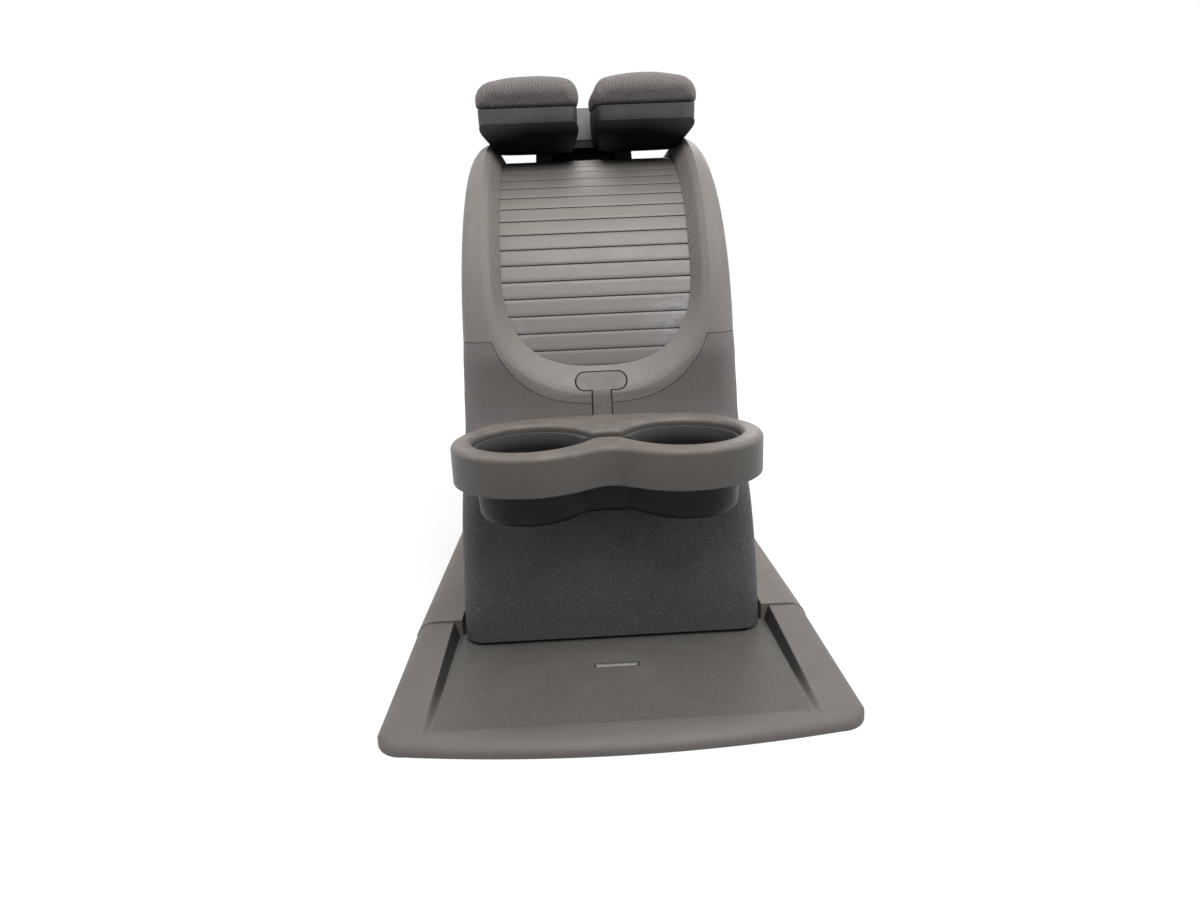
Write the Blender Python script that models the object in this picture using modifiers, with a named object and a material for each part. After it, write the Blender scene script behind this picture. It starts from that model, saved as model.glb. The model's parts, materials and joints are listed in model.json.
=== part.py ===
"""Sliding floor console with twin armrests, a roller shutter and a clip-on double cup holder.

Metres, +Z up. The console faces -Y (the dashboard side), X = 0 is its symmetry plane and
the floor is Z = 0. The shutter runs on a circle whose centre line is parallel to X.
"""
import math

import bmesh
import bpy
from mathutils import Matrix, Vector

# General clearances and walls
GAP = 0.0003
SEAM = 0.0005
WALL = 0.003

# Reach of cutters that pass right through
FAR = 0.60

# Shutter circle, seen from the side; the ridge outside it carries the tower's front face
SHUTTER_R = 0.183
LIP_R = SHUTTER_R + 0.001
RIDGE_R = SHUTTER_R + 0.019
TOWER_FACE_Y = -0.064
SHUTTER_Y = TOWER_FACE_Y + RIDGE_R
SHUTTER_Z = 0.242
SHUTTER_THICK = 0.0035
SHUTTER_HALF = 0.088
SHUTTER_LOW_DEG = -6.0
SHUTTER_HIGH_DEG = 93.5
SLAT_PITCH = 0.015
SLAT_FIRST = 0.58
SLAT_GROOVE = 0.0011
SLAT_GROOVE_DEEP = 0.0010

# Opening that shows the shutter: a U with a superellipse bottom
OPENING_HALF = 0.082
OPENING_TOP_EXTRA = 0.0025
OPENING_SLANT = 0.010
OPENING_START_DEG = 25.2
OPENING_BOTTOM_DEG = -3.0
OPENING_SLANT_DEG = -6.5
OPENING_END_DEG = 94.5
OPENING_POWER = 2.7
OPENING_ROW_DEG = 6.0
BEZEL_WIDEN = 0.008
BEZEL_DROP_DEG = -1.44
BEZEL_REACH = 0.012
BEZEL_END_DEG = 96.0
DECK_HALF = 0.100
DECK_RISE = 0.030
SPLIT_MARGIN = 0.007
SPLIT_MARGIN_DEG = -2.0
SPLIT_Z = 0.258

# Tower outline, seen from the side, from the front foot up to the shutter circle
FOOT_FRONT_Z = 0.0130
FOOT_REAR_Z = 0.0200
TOWER_FRONT = (
    (-0.1217, FOOT_FRONT_Z),
    (-0.1180, 0.055),
    (-0.1110, 0.088),
    (-0.1020, 0.116),
    (-0.0935, 0.134),
    (-0.0825, 0.150),
    (-0.0715, 0.165),
    (-0.0630, 0.179),
    (-0.0590, 0.192),
    (-0.0600, 0.214),
)
DECK_Z = SHUTTER_Z + LIP_R - 0.002
TOWER_TOP = (
    (SHUTTER_Y + 0.052, DECK_Z + 0.0165),
    (SHUTTER_Y + 0.112, DECK_Z + 0.0130),
)
TOWER_REAR_Y = SHUTTER_Y + 0.207
TOWER_REAR_TOP_Z = DECK_Z + 0.010
TOWER_REAR_CORNER = 0.036
TOWER_WIDEST = 0.127
TOWER_HALF = (
    (0.000, TOWER_WIDEST),
    (0.110, 0.1245),
    (0.165, 0.1230),
    (0.205, 0.1215),
    (0.258, 0.1178),
    (0.350, 0.1158),
    (0.446, 0.1140),
)
SHOULDER_ROUND = 0.026
LOWER_ROUND = 0.018
LOWER_ROUND_TOP_Z = 0.170

# Deck behind the shutter, and the access panel in the rear wall
PANEL_HALF = 0.090
PANEL_LOW_Z = 0.060
PANEL_HIGH_Z = DECK_Z - 0.039

# Cup holder: a two-lobed ring with a T tongue, and a dark two-lobed insert
CUP_X = 0.0580
CUP_Y = -0.136
RING_R = 0.060
RING_BACK_Y = -0.0590
RING_BACK = (
    (0.020, 0.0012),
    (0.041, 0.0033),
    (0.058, 0.0060),
    (0.072, 0.0097),
    (0.085, 0.0155),
    (0.097, 0.0245),
)
RING_BACK_END_DEG = 31.0
RING_WAIST = 0.026
WAIST_SOFT = 0.011
RING_TOP_Z = 0.192
RING_LOW_Z = 0.162
RING_WALL = 0.0035
RING_PLATE = 0.006
RING_EDGE = 0.0048
RIM_R = 0.044
RIM_WAIST = 0.0115
WELL_TOP_R = 0.0420
WELL_LOW_R = 0.0355
WELL_FLOOR_Z = 0.1365
CUP_LOW_Z = 0.134
INSERT_TOP_R = 0.0440
INSERT_LOW_R = 0.0418
INSERT_WAIST = 0.0190
INSERT_FOOT = 0.0045
SADDLE_Z = 0.177
TONGUE_STEM = 0.0080
TONGUE_BAR = 0.0150
TONGUE_BAR_Z = 0.2200
TONGUE_BAR_HALF = 0.0070
TONGUE_THICK = 0.0024
TONGUE_GAP = 0.0008

# Floor trims and running gear
TRIM_HALF = 0.1715
TRIM_WALL = 0.003
WING_INSET = 0.0090
WING_ROOF = 0.0055
TRIM_EDGE = 0.017
TRAY_EDGE = 0.014
TRAY_LIP_EDGE = 0.006
TRAY_FRONT_Y = -0.254
TRAY_BOW = 0.0145
TRAY_CORNER = 0.022
TRAY_BACK_Y = -0.100
TRAY_TOP_Z = 0.022
TRAY_LIP_Z = 0.0095
TRAY_PANEL_HALF = 0.137
TRAY_PANEL_Z = 0.0095
TRAY_WALL_SLANT = 0.003
NOTCH_HALF = 0.0165
NOTCH_Y = -0.160
NOTCH_WIDE = 0.0040
NOTCH_DEEP = 0.0012
REAR_TRIM_Z = 0.0235
REAR_TRIM_CORNER = 0.025
REAR_TRIM_Y = TOWER_REAR_Y + 0.045
REAR_TRIM_INSIDE = 0.131
REAR_TRIM_INSIDE_Y = TOWER_REAR_Y + 0.007
PLATE_THICK = 0.003
RAIL_X = 0.084
RAIL_HALF = 0.012
RAIL_TALL = 0.0135
RAIL_WALL = 0.002
RAIL_SLOT = 0.0058
RAIL_INSET = 0.006
GLIDE_LONG = 0.060
GLIDE_FRONT_Y = 0.045
GLIDE_REAR_Y = 0.235
CARRIAGE_Z = 0.0225
CARRIAGE_THICK = 0.0025

# Inner frame, storage bin and shutter tracks
FRAME_LEG_X = 0.070
FRAME_LEG_HALF = 0.0125
FRAME_LOW_Y = TOWER_REAR_Y - 0.081
FRAME_HIGH_Y = FRAME_LOW_Y + 0.005
FRAME_BAR_TALL = 0.018
BIN_HALF = 0.080
BIN_WALL = 0.0022
BIN_CLEAR = 0.002
BIN_FRONT = ((4.0, 1.0), (-17.7, 0.8765), (-38.3, 0.8420), (-55.6, 0.8010))
BIN_CHAMFER = 0.020
TRACK_IN = 0.084
TRACK_OUT = 0.1072
TRACK_LOW_R = SHUTTER_R - 0.0085
TRACK_GROOVE_LOW_DEG = -84.5
TRACK_LOW_DEG = -86.5
TRACK_HIGH_DEG = 93.8
TRACK_FLANGE_DEG = -15.0
TRACK_FLANGE_R = SHUTTER_R + 0.004

# Hinge of the armrests, and the pillar that carries it
HINGE_Y = SHUTTER_Y + 0.152
HINGE_Z = DECK_Z + 0.062
PILLAR_FOOT_HALF = 0.066
PILLAR_FOOT_TALL = 0.006
PILLAR_FOOT_FRONT_Y = HINGE_Y - 0.046
PILLAR_FOOT_REAR_Y = HINGE_Y + 0.022
PILLAR_FRONT_Y = HINGE_Y - 0.0255
PILLAR_REAR_Y = HINGE_Y + 0.0255
PILLAR_HALF_LOW = 0.0605
PILLAR_HALF_TOP = 0.0560
PILLAR_RECESS = 0.0390
PILLAR_RECESS_Z = DECK_Z + 0.037
PILLAR_BACK = 0.003
PILLAR_TOP_Z = HINGE_Z + 0.020
PILLAR_ROUND = 0.010
COVER_LOW_Z = HINGE_Z - 0.016
COVER_THICK = 0.0022
COVER_HALF = 0.0540

# Armrests, in a frame turned by the resting angle about the hinge
REST_DEG = 10.0
ARM_LENGTH = 0.252
ARM_REAR = 0.036
ARM_IN = 0.0065
ARM_OUT = 0.1040
ARM_SEAM_T = 0.0168
ARM_TOP_T = 0.0440
ARM_LOW_T = -0.0232
ARM_BAND_T = 0.0050
HULL_SET_IN = 0.0025
HULL_DEPTH = ARM_BAND_T - ARM_LOW_T
HULL_INNER = ((0.0, 0.0), (0.35, 0.0008), (0.70, 0.0022), (0.90, 0.0065), (1.0, 0.0130))
HULL_OUTER = ((0.0, 0.0), (0.35, 0.0014), (0.52, 0.0046), (0.68, 0.0128), (0.92, 0.0170), (1.0, 0.0228))
HULL_CHIN = 0.038
ARM_POCKET = 0.004
ARM_POCKET_INSET = 0.014
ARM_POCKET_FRONT = -0.234
ARM_POCKET_REAR = -0.046
KNUCKLE_R = 0.0195
KNUCKLE_IN = 0.0635
KNUCKLE_OUT = 0.0940
BUSH_R = 0.0090
SHAFT_R = 0.0060
SHAFT_HALF = 0.0965
CAP_R = 0.0100
CAP_LONG = 0.0055

ROUND_STEPS = 32


def clear_scene():
    """Removes whatever objects the file opened with."""
    for found in list(bpy.data.objects):
        bpy.data.objects.remove(found, do_unlink=True)


def collection(name):
    """Returns a new collection linked to the scene."""
    made = bpy.data.collections.new(name)
    bpy.context.scene.collection.children.link(made)
    return made


def material(name, colour, roughness, metallic=0.0):
    """Returns a plain Principled material."""
    made = bpy.data.materials.new(name)
    made.use_nodes = True
    shader = made.node_tree.nodes["Principled BSDF"]
    shader.inputs["Base Color"].default_value = (*colour, 1.0)
    shader.inputs["Roughness"].default_value = roughness
    shader.inputs["Metallic"].default_value = metallic
    return made


def from_bmesh(name, shape, home):
    """Turns a bmesh into an object, its faces pointing out."""
    bmesh.ops.recalc_face_normals(shape, faces=shape.faces[:])
    if shape.calc_volume(signed=True) < 0.0:
        bmesh.ops.reverse_faces(shape, faces=shape.faces[:])
    mesh = bpy.data.meshes.new(name)
    shape.to_mesh(mesh)
    shape.free()
    made = bpy.data.objects.new(name, mesh)
    home.objects.link(made)
    if home is CUTTERS:
        made.hide_render = True
        made.display_type = "WIRE"
    return made


def box(name, low, high, home):
    """An axis-aligned box between two corners."""
    shape = bmesh.new()
    bmesh.ops.create_cube(shape, size=1.0)
    low, high = Vector(low), Vector(high)
    middle = (low + high) / 2
    for vert in shape.verts:
        vert.co = Vector(a * b + c for a, b, c in zip(vert.co, high - low, middle))
    return from_bmesh(name, shape, home)


def rod(name, radius, start, end, home, end_radius=None, segments=ROUND_STEPS):
    """A cylinder or cone between two points."""
    start, end = Vector(start), Vector(end)
    along = end - start
    shape = bmesh.new()
    bmesh.ops.create_cone(
        shape,
        cap_ends=True,
        segments=segments,
        radius1=radius,
        radius2=radius if end_radius is None else end_radius,
        depth=along.length,
    )
    turn = along.to_track_quat("Z", "Y").to_matrix().to_4x4()
    shape.transform(Matrix.Translation((start + end) / 2) @ turn)
    return from_bmesh(name, shape, home)


PLANES = {
    "XY": Matrix(((1, 0, 0), (0, 1, 0), (0, 0, 1))),
    "YZ": Matrix(((0, 0, 1), (1, 0, 0), (0, 1, 0))),
    "XZ": Matrix(((1, 0, 0), (0, 0, -1), (0, 1, 0))),
}


def slab(name, outline, low, high, plane, home):
    """A flat outline in the named plane, given thickness from low to high across it."""
    curve = bpy.data.curves.new(name + "_outline", "CURVE")
    curve.dimensions = "2D"
    curve.fill_mode = "BOTH"
    curve.extrude = (high - low) / 2
    spline = curve.splines.new("POLY")
    spline.points.add(len(outline) - 1)
    for point, (a, b) in zip(spline.points, outline):
        point.co = (a, b, 0.0, 1.0)
    spline.use_cyclic_u = True
    drawn = bpy.data.objects.new(name + "_drawn", curve)
    bpy.context.scene.collection.objects.link(drawn)
    seen = drawn.evaluated_get(bpy.context.evaluated_depsgraph_get())
    mesh = bpy.data.meshes.new_from_object(seen)
    bpy.data.objects.remove(drawn, do_unlink=True)
    bpy.data.curves.remove(curve)
    shape = bmesh.new()
    shape.from_mesh(mesh)
    bpy.data.meshes.remove(mesh)
    bmesh.ops.remove_doubles(shape, verts=shape.verts[:], dist=1e-6)
    flat = [edge for edge in shape.edges if edge.calc_face_angle(1.0) < 1e-4]
    bmesh.ops.dissolve_edges(shape, edges=flat, use_verts=False)
    turn = PLANES[plane]
    across = turn @ Vector((0.0, 0.0, 1.0))
    middle = (low + high) / 2 * Vector(abs(part) for part in across)
    shape.transform(Matrix.Translation(middle) @ turn.to_4x4())
    return from_bmesh(name, shape, home)


def loft(name, rings, home):
    """A closed skin over rings of equally many points, with flat ends."""
    shape = bmesh.new()
    rows = [[shape.verts.new(point) for point in ring] for ring in rings]
    count = len(rows[0])
    for lower, upper in zip(rows, rows[1:]):
        for index in range(count):
            after = (index + 1) % count
            shape.faces.new((lower[index], lower[after], upper[after], upper[index]))
    shape.faces.new(reversed(rows[0]))
    shape.faces.new(rows[-1])
    return from_bmesh(name, shape, home)


def settle(thing):
    """Applies the object's modifiers to its mesh."""
    seen = thing.evaluated_get(bpy.context.evaluated_depsgraph_get())
    mesh = bpy.data.meshes.new_from_object(seen)
    thing.modifiers.clear()
    old = thing.data
    thing.data = mesh
    bpy.data.meshes.remove(old)
    return thing


def combine(thing, other, operation):
    """Boolean of two objects, applied at once."""
    step = thing.modifiers.new(operation.lower(), "BOOLEAN")
    step.operation = operation
    step.solver = "EXACT"
    step.object = other
    return settle(thing)


def cut(thing, *cutters):
    """Takes the cutters out of a piece."""
    for cutter in cutters:
        combine(thing, cutter, "DIFFERENCE")
    return thing


def join(thing, *others):
    """Joins the others to a piece as one body, and removes them."""
    for other in others:
        combine(thing, other, "UNION")
        bpy.data.objects.remove(other, do_unlink=True)
    return thing


def copy_of(thing, name, home):
    """A copy with its own mesh."""
    made = bpy.data.objects.new(name, thing.data.copy())
    home.objects.link(made)
    if home is CUTTERS:
        made.hide_render = True
        made.display_type = "WIRE"
    return made


def round_edges(thing, width, segments, wanted):
    """Bevels the edges whose two end points pass the test."""
    mesh = thing.data
    layer = mesh.attributes.new("bevel_weight_edge", "FLOAT", "EDGE")
    for edge in mesh.edges:
        ends = [mesh.vertices[index].co for index in edge.vertices]
        layer.data[edge.index].value = wanted(*ends)
    step = thing.modifiers.new("rounded", "BEVEL")
    step.limit_method = "WEIGHT"
    step.width = width
    step.segments = segments
    step.use_clamp_overlap = False
    return settle(thing)


def smooth(thing, degrees=35.0):
    """Shades smooth, with edges sharper than the angle kept crisp."""
    thing.data.shade_smooth()
    thing.data.set_sharp_from_angle(angle=math.radians(degrees))
    return thing


def finish(thing, surface):
    """Gives a piece its material and smooth shading."""
    thing.data.materials.clear()
    thing.data.materials.append(surface)
    return smooth(thing)


def mirrored(points):
    """Adds the other half of an outline that starts and ends on X = 0."""
    return points + [(-x, y) for x, y in reversed(points) if x > 1e-9]


def on_circle(radius, degrees):
    """Side-view point (y, z) on a circle about the shutter's centre, 0 facing front, 90 up."""
    angle = math.radians(degrees)
    return (SHUTTER_Y - radius * math.cos(angle), SHUTTER_Z + radius * math.sin(angle))


def arc(radius, start, end, steps):
    """Side-view arc about the shutter's centre."""
    return [on_circle(radius, start + (end - start) * i / steps) for i in range(steps + 1)]


def half_width(z):
    """Half the tower's width at a height."""
    for (low, low_half), (high, high_half) in zip(TOWER_HALF, TOWER_HALF[1:]):
        if z <= high:
            return low_half + (high_half - low_half) * (z - low) / (high - low)
    return TOWER_HALF[-1][1]


def tower_outline(inset):
    """Side view of the tower, moved inwards by the inset, open past the foot when inset."""
    rear_low = TOWER_REAR_TOP_Z - TOWER_REAR_CORNER
    corner_y = TOWER_REAR_Y - TOWER_REAR_CORNER
    points = list(TOWER_FRONT) + arc(RIDGE_R, 0.0, 93.0, 17)
    points += list(TOWER_TOP)
    for step in range(7):
        turn = math.radians(84.0 - 14.0 * step)
        points.append((
            corner_y + TOWER_REAR_CORNER * math.cos(turn),
            rear_low + TOWER_REAR_CORNER * math.sin(turn),
        ))
    points.append((TOWER_REAR_Y, FOOT_REAR_Z))
    moved = []
    last = len(points) - 1
    for index, (y, z) in enumerate(points):
        before = points[max(index - 1, 0)]
        after = points[min(index + 1, last)]
        along = Vector((after[0] - before[0], after[1] - before[1])).normalized()
        moved.append((y + along.y * inset, z - along.x * inset))
    if inset:
        moved[0] = (moved[0][0] - 0.003, -0.010)
        moved[-1] = (moved[-1][0], -0.010)
    return moved


def tower_solid(name, inset, home):
    """The tower as one solid block, rounded along its sides and tapered upwards."""
    half = TOWER_WIDEST - inset
    block = slab(name, tower_outline(inset), -half, half, "YZ", home)
    widest = SHOULDER_ROUND - inset

    def share(a, b):
        """How much of the widest rounding an edge takes."""
        on_side = abs(abs(a.x) - half) < 1e-6 and abs(a.x - b.x) < 1e-6
        at_foot = max(a.z, b.z) < FOOT_REAR_Z + 1e-4
        if not on_side or at_foot:
            return 0.0
        middle = (a + b) / 2
        if middle.y > SHUTTER_Y:
            return 1.0
        rise = (middle.z - LOWER_ROUND_TOP_Z) / (SPLIT_Z - LOWER_ROUND_TOP_Z)
        blend = min(max(rise, 0.0), 1.0)
        return (LOWER_ROUND + (SHOULDER_ROUND - LOWER_ROUND) * blend - inset) / widest

    round_edges(block, widest, 4, share)
    shape = bmesh.new()
    shape.from_mesh(block.data)
    for level, _ in TOWER_HALF[1:-1]:
        bmesh.ops.bisect_plane(
            shape,
            geom=shape.verts[:] + shape.edges[:] + shape.faces[:],
            plane_co=(0.0, 0.0, level),
            plane_no=(0.0, 0.0, 1.0),
            dist=1e-6,
        )
    for vert in shape.verts:
        vert.co.x *= (half_width(vert.co.z) - inset) / half
    shape.to_mesh(block.data)
    shape.free()
    return block


def opening_ring(radius, widen, drop_deg, end_deg):
    """One ring of the U opening: its outline at a radius, made wider and lower."""
    slant = max((radius - LIP_R) / (RIDGE_R - LIP_R), 0.0)
    half = OPENING_HALF + OPENING_SLANT * slant + widen
    bottom = OPENING_BOTTOM_DEG + OPENING_SLANT_DEG * slant + drop_deg
    reach = OPENING_START_DEG - bottom
    steps = 12
    rows = max(round((end_deg - OPENING_START_DEG) / OPENING_ROW_DEG), 1)
    side = []
    for row in range(rows):
        share = 1.0 - row / rows
        turn = OPENING_START_DEG + (end_deg - OPENING_START_DEG) * share
        side.append((half + OPENING_TOP_EXTRA * share, turn))
    for step in range(steps + 1):
        angle = math.pi / 2 * step / steps
        across = max(math.cos(angle), 0.0) ** (2 / OPENING_POWER)
        down = math.sin(angle) ** (2 / OPENING_POWER)
        side.append((half * across, OPENING_START_DEG - reach * down))
    flat = side[:-1] + [(0.0, bottom)] + [(-x, turn) for x, turn in reversed(side[:-1])]
    return [(x, *on_circle(radius, turn)) for x, turn in flat]


def opening_solid(name, low_r, high_r, widen, drop_deg, end_deg, home):
    """The U opening as a slanted plug across the shutter circle."""
    radii = [low_r, LIP_R, RIDGE_R, high_r] if low_r < LIP_R else [LIP_R, RIDGE_R, high_r]
    rings = [opening_ring(radius, widen, drop_deg, end_deg) for radius in radii]
    shape = bmesh.new()
    rows = [[shape.verts.new(point) for point in ring] for ring in rings]
    last = len(rows[0]) - 1
    for lower, upper in zip(rows, rows[1:]):
        for index in range(last + 1):
            after = (index + 1) % (last + 1)
            shape.faces.new((lower[index], lower[after], upper[after], upper[index]))
    for ring in (rows[0], rows[-1]):
        for index in range(last // 2 - 1):
            shape.faces.new((ring[index], ring[index + 1], ring[last - index - 1], ring[last - index]))
        middle = last // 2
        shape.faces.new((ring[middle - 1], ring[middle], ring[middle + 1]))
    return from_bmesh(name, shape, home)


def bezel_foot(name, gap):
    """Plug over the part of the bezel that dips below the split line, grown by a gap."""
    drop = SPLIT_MARGIN_DEG - math.degrees(gap / RIDGE_R)
    ring = opening_ring(RIDGE_R, SPLIT_MARGIN + gap, drop, OPENING_START_DEG + 1.0)
    low = [(x, z) for x, _, z in ring if z < SPLIT_Z]
    top = SPLIT_Z + 0.010
    outline = [(low[0][0] + 0.0005, top)] + low + [(low[-1][0] - 0.0005, top)]
    return slab(name, outline, -0.20, 0.0, "XZ", CUTTERS)


def tongue_face(z):
    """Depth (y) of the tower's middle front face at a height, bezel slant included."""
    top_y, top_z = on_circle(LIP_R, OPENING_BOTTOM_DEG)
    low_y, low_z = -0.0600, 0.2105
    if z > low_z:
        return low_y + (top_y - low_y) * (z - low_z) / (top_z - low_z)
    return -0.0590 + (low_y + 0.0590) * (z - RING_TOP_Z) / (low_z - RING_TOP_Z)


def tongue_solid(name, grow, front, back, low_z, home):
    """The T tongue, between two depths measured from the face of the tower."""
    bar_low = TONGUE_BAR_Z - TONGUE_BAR_HALF - grow
    levels = [(low_z, TONGUE_STEM + grow), (RING_TOP_Z + 0.004, TONGUE_STEM + grow)]
    levels += [(bar_low - 0.006, TONGUE_STEM + grow), (bar_low - 0.0001, TONGUE_STEM + grow)]
    for step in range(9):
        angle = math.pi * (step / 8 - 0.5)
        z = TONGUE_BAR_Z + (TONGUE_BAR_HALF + grow) * math.sin(angle)
        levels.append((z, TONGUE_BAR + (TONGUE_BAR_HALF + grow) * math.cos(angle)))
    rings = []
    for z, half in levels:
        face = tongue_face(z)
        lift = 0.0022 if z <= RING_TOP_Z + 0.001 else 0.0
        near, far = face + front - lift, face + back
        rings.append([(-half, near, z), (half, near, z), (half, far, z), (-half, far, z)])
    return loft(name, rings, home)


def build_shells():
    """Upper shell, lower shell and rear access panel, all cut from one tower."""
    outer = tower_solid("upper_shell", 0.0, PARTS)
    inner = tower_solid("tower_hollow", WALL, CUTTERS)
    past_ridge = RIDGE_R + BEZEL_REACH
    bezel = opening_solid(
        "bezel_body", LIP_R, past_ridge, BEZEL_WIDEN, BEZEL_DROP_DEG, BEZEL_END_DEG, CUTTERS
    )
    deck = box(
        "deck_body",
        (-DECK_HALF, on_circle(LIP_R, OPENING_END_DEG)[0], DECK_Z - WALL),
        (DECK_HALF, TOWER_REAR_Y, DECK_Z + DECK_RISE),
        CUTTERS,
    )
    cut(inner, bezel, deck)
    opening = opening_solid(
        "opening", LIP_R - 0.019, past_ridge, 0.0, 0.0, OPENING_END_DEG, CUTTERS
    )
    top = OPENING_HALF + OPENING_TOP_EXTRA
    slope = OPENING_SLANT / (RIDGE_R - LIP_R)
    lip_z = SHUTTER_Z + LIP_R
    sections = []
    for y in (on_circle(LIP_R, OPENING_END_DEG)[0] - 0.006, TOWER_REAR_Y + 0.02):
        low_half = top + (DECK_Z - lip_z) * slope
        high_half = top + (DECK_Z + DECK_RISE - lip_z) * slope
        sections.append([
            (-low_half, y, DECK_Z),
            (low_half, y, DECK_Z),
            (high_half, y, DECK_Z + DECK_RISE),
            (-high_half, y, DECK_Z + DECK_RISE),
        ])
    channel = loft("deck_channel", sections, CUTTERS)
    slot = tongue_solid("tongue_slot", TONGUE_GAP, -0.020, 0.016, RING_TOP_Z - 0.006, CUTTERS)
    doorway = box(
        "doorway",
        (-PANEL_HALF, TOWER_REAR_Y - 0.02, PANEL_LOW_Z),
        (PANEL_HALF, TOWER_REAR_Y + 0.02, PANEL_HIGH_Z),
        CUTTERS,
    )
    cut(outer, inner, opening, channel, slot, doorway)
    lower = copy_of(outer, "lower_shell", PARTS)
    wide = TOWER_WIDEST + 0.05
    below = box("below_split", (-wide, -FAR, -FAR), (wide, FAR, SPLIT_Z), CUTTERS)
    cut(below, bezel_foot("bezel_foot", 0.0))
    cut(outer, below)
    above = box("above_split", (-wide, -FAR, SPLIT_Z - SEAM), (wide, FAR, FAR), CUTTERS)
    cut(lower, above, bezel_foot("bezel_foot_grown", SEAM))
    finish(outer, SHELL_BROWN)
    finish(lower, SHELL_DARK)
    panel = box(
        "rear_panel",
        (-PANEL_HALF + SEAM, TOWER_REAR_Y - WALL + GAP, PANEL_LOW_Z + SEAM),
        (PANEL_HALF - SEAM, TOWER_REAR_Y - GAP, PANEL_HIGH_Z - SEAM),
        PARTS,
    )
    finish(panel, SHELL_DARK)


def build_shutter():
    """The slatted curtain, one flexible moulding with a groove between slats."""
    pitch = math.degrees(SLAT_PITCH / SHUTTER_R)
    groove = math.degrees(SLAT_GROOVE / SHUTTER_R) / 2
    floor_r = SHUTTER_R - SLAT_GROOVE_DEEP
    outline = []
    start = SHUTTER_LOW_DEG
    end = start + pitch * SLAT_FIRST
    while start < SHUTTER_HIGH_DEG - pitch * 0.3:
        outline.append(on_circle(SHUTTER_R, start + groove))
        outline.append(on_circle(SHUTTER_R, (start + end) / 2))
        outline.append(on_circle(SHUTTER_R, end - groove))
        if end < SHUTTER_HIGH_DEG - 1e-6:
            outline.append(on_circle(floor_r, end - groove * 0.6))
            outline.append(on_circle(floor_r, end + groove * 0.6))
        start = end
        end = min(start + pitch, SHUTTER_HIGH_DEG)
    inside = arc(SHUTTER_R - SHUTTER_THICK, SHUTTER_HIGH_DEG, SHUTTER_LOW_DEG, 24)
    curtain = slab("shutter", outline + inside, -SHUTTER_HALF, SHUTTER_HALF, "YZ", PARTS)
    place_origin(curtain, (0.0, SHUTTER_Y, SHUTTER_Z))
    finish(curtain, SHUTTER_TAUPE)
    flange_top = SHUTTER_R + 0.0006
    for name, side in (("left", -1), ("right", 1)):
        outline = arc(TRACK_LOW_R, TRACK_LOW_DEG, TRACK_HIGH_DEG, 26)
        outline += arc(flange_top, TRACK_HIGH_DEG, TRACK_FLANGE_DEG, 16)
        outline += arc(TRACK_FLANGE_R, TRACK_FLANGE_DEG, TRACK_LOW_DEG, 12)
        low, high = sorted((side * TRACK_IN, side * TRACK_OUT))
        track = slab(f"shutter_track_{name}", outline, low, high, "YZ", PARTS)
        groove_low = SHUTTER_R - SHUTTER_THICK - 0.0007
        outline = arc(groove_low, TRACK_GROOVE_LOW_DEG, 100.0, 30)
        outline += arc(flange_top + 0.0002, 100.0, TRACK_GROOVE_LOW_DEG, 30)
        low, high = sorted((side * (TRACK_IN - 0.01), side * (SHUTTER_HALF + 0.0006)))
        cut(track, slab(f"track_groove_{name}", outline, low, high, "YZ", CUTTERS))
        finish(track, INNER_BLACK)


def place_origin(thing, point):
    """Moves an object's origin without moving its mesh in space."""
    point = Vector(point)
    thing.data.transform(Matrix.Translation(thing.location - point))
    thing.location = point


def build_bin():
    """Storage bin under the shutter, open along the shutter's arc."""
    clear_r = TRACK_LOW_R - BIN_CLEAR
    wall_y = FRAME_LOW_Y - GAP
    profile = [on_circle(clear_r * share, turn) for turn, share in BIN_FRONT]
    low_z = profile[-1][1]
    profile += [
        (wall_y - BIN_CHAMFER, low_z),
        (wall_y, low_z + BIN_CHAMFER),
        (wall_y, DECK_Z - 0.029),
        (wall_y - 0.0637, DECK_Z - WALL - GAP - 0.004),
    ]
    shape = bmesh.new()
    left = [shape.verts.new((-BIN_HALF, y, z)) for y, z in profile]
    right = [shape.verts.new((BIN_HALF, y, z)) for y, z in profile]
    for index in range(len(profile) - 1):
        shape.faces.new((left[index], right[index], right[index + 1], left[index + 1]))
    rim = [on_circle(clear_r, turn) for turn in (60.0, 46.0, 32.0, 18.0)]
    for verts, x in ((left, -BIN_HALF), (right, BIN_HALF)):
        edge = [shape.verts.new((x, y, z)) for y, z in rim]
        shape.faces.new(verts + edge)
    bin_part = from_bmesh("storage_bin", shape, PARTS)
    skin = bin_part.modifiers.new("wall", "SOLIDIFY")
    skin.thickness = BIN_WALL
    skin.offset = -1.0
    skin.use_even_offset = True
    settle(bin_part)
    finish(bin_part, INNER_BLACK)


def ring_outline(grow):
    """Plan of the cup ring: two lobes, a front waist and a flat back on the tower."""
    back = RING_BACK_Y - GAP + grow
    points = [(0.0, back)] + [(x + grow, back - fall) for x, fall in RING_BACK]
    radius = RING_R + grow
    for step in range(13):
        turn = math.radians(RING_BACK_END_DEG - (RING_BACK_END_DEG + 90.0) * step / 12)
        points.append((CUP_X + radius * math.cos(turn), CUP_Y + radius * math.sin(turn)))
    return mirrored(points + waist(radius, RING_WAIST + grow, -1.0)[1:])


def waist(radius, narrow, side):
    """Points from a lobe's far point to the middle, blending the lobe into a waist."""
    points = []
    for step in range(11):
        x = CUP_X * (1.0 - step / 10)
        rounded = math.sqrt(x ** 2 + (WAIST_SOFT * step / 10) ** 2)
        lobe = math.sqrt(max(radius ** 2 - (rounded - CUP_X) ** 2, 0.0))
        points.append((x, CUP_Y + side * (lobe ** 4 + narrow ** 4) ** 0.25))
    return points


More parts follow.
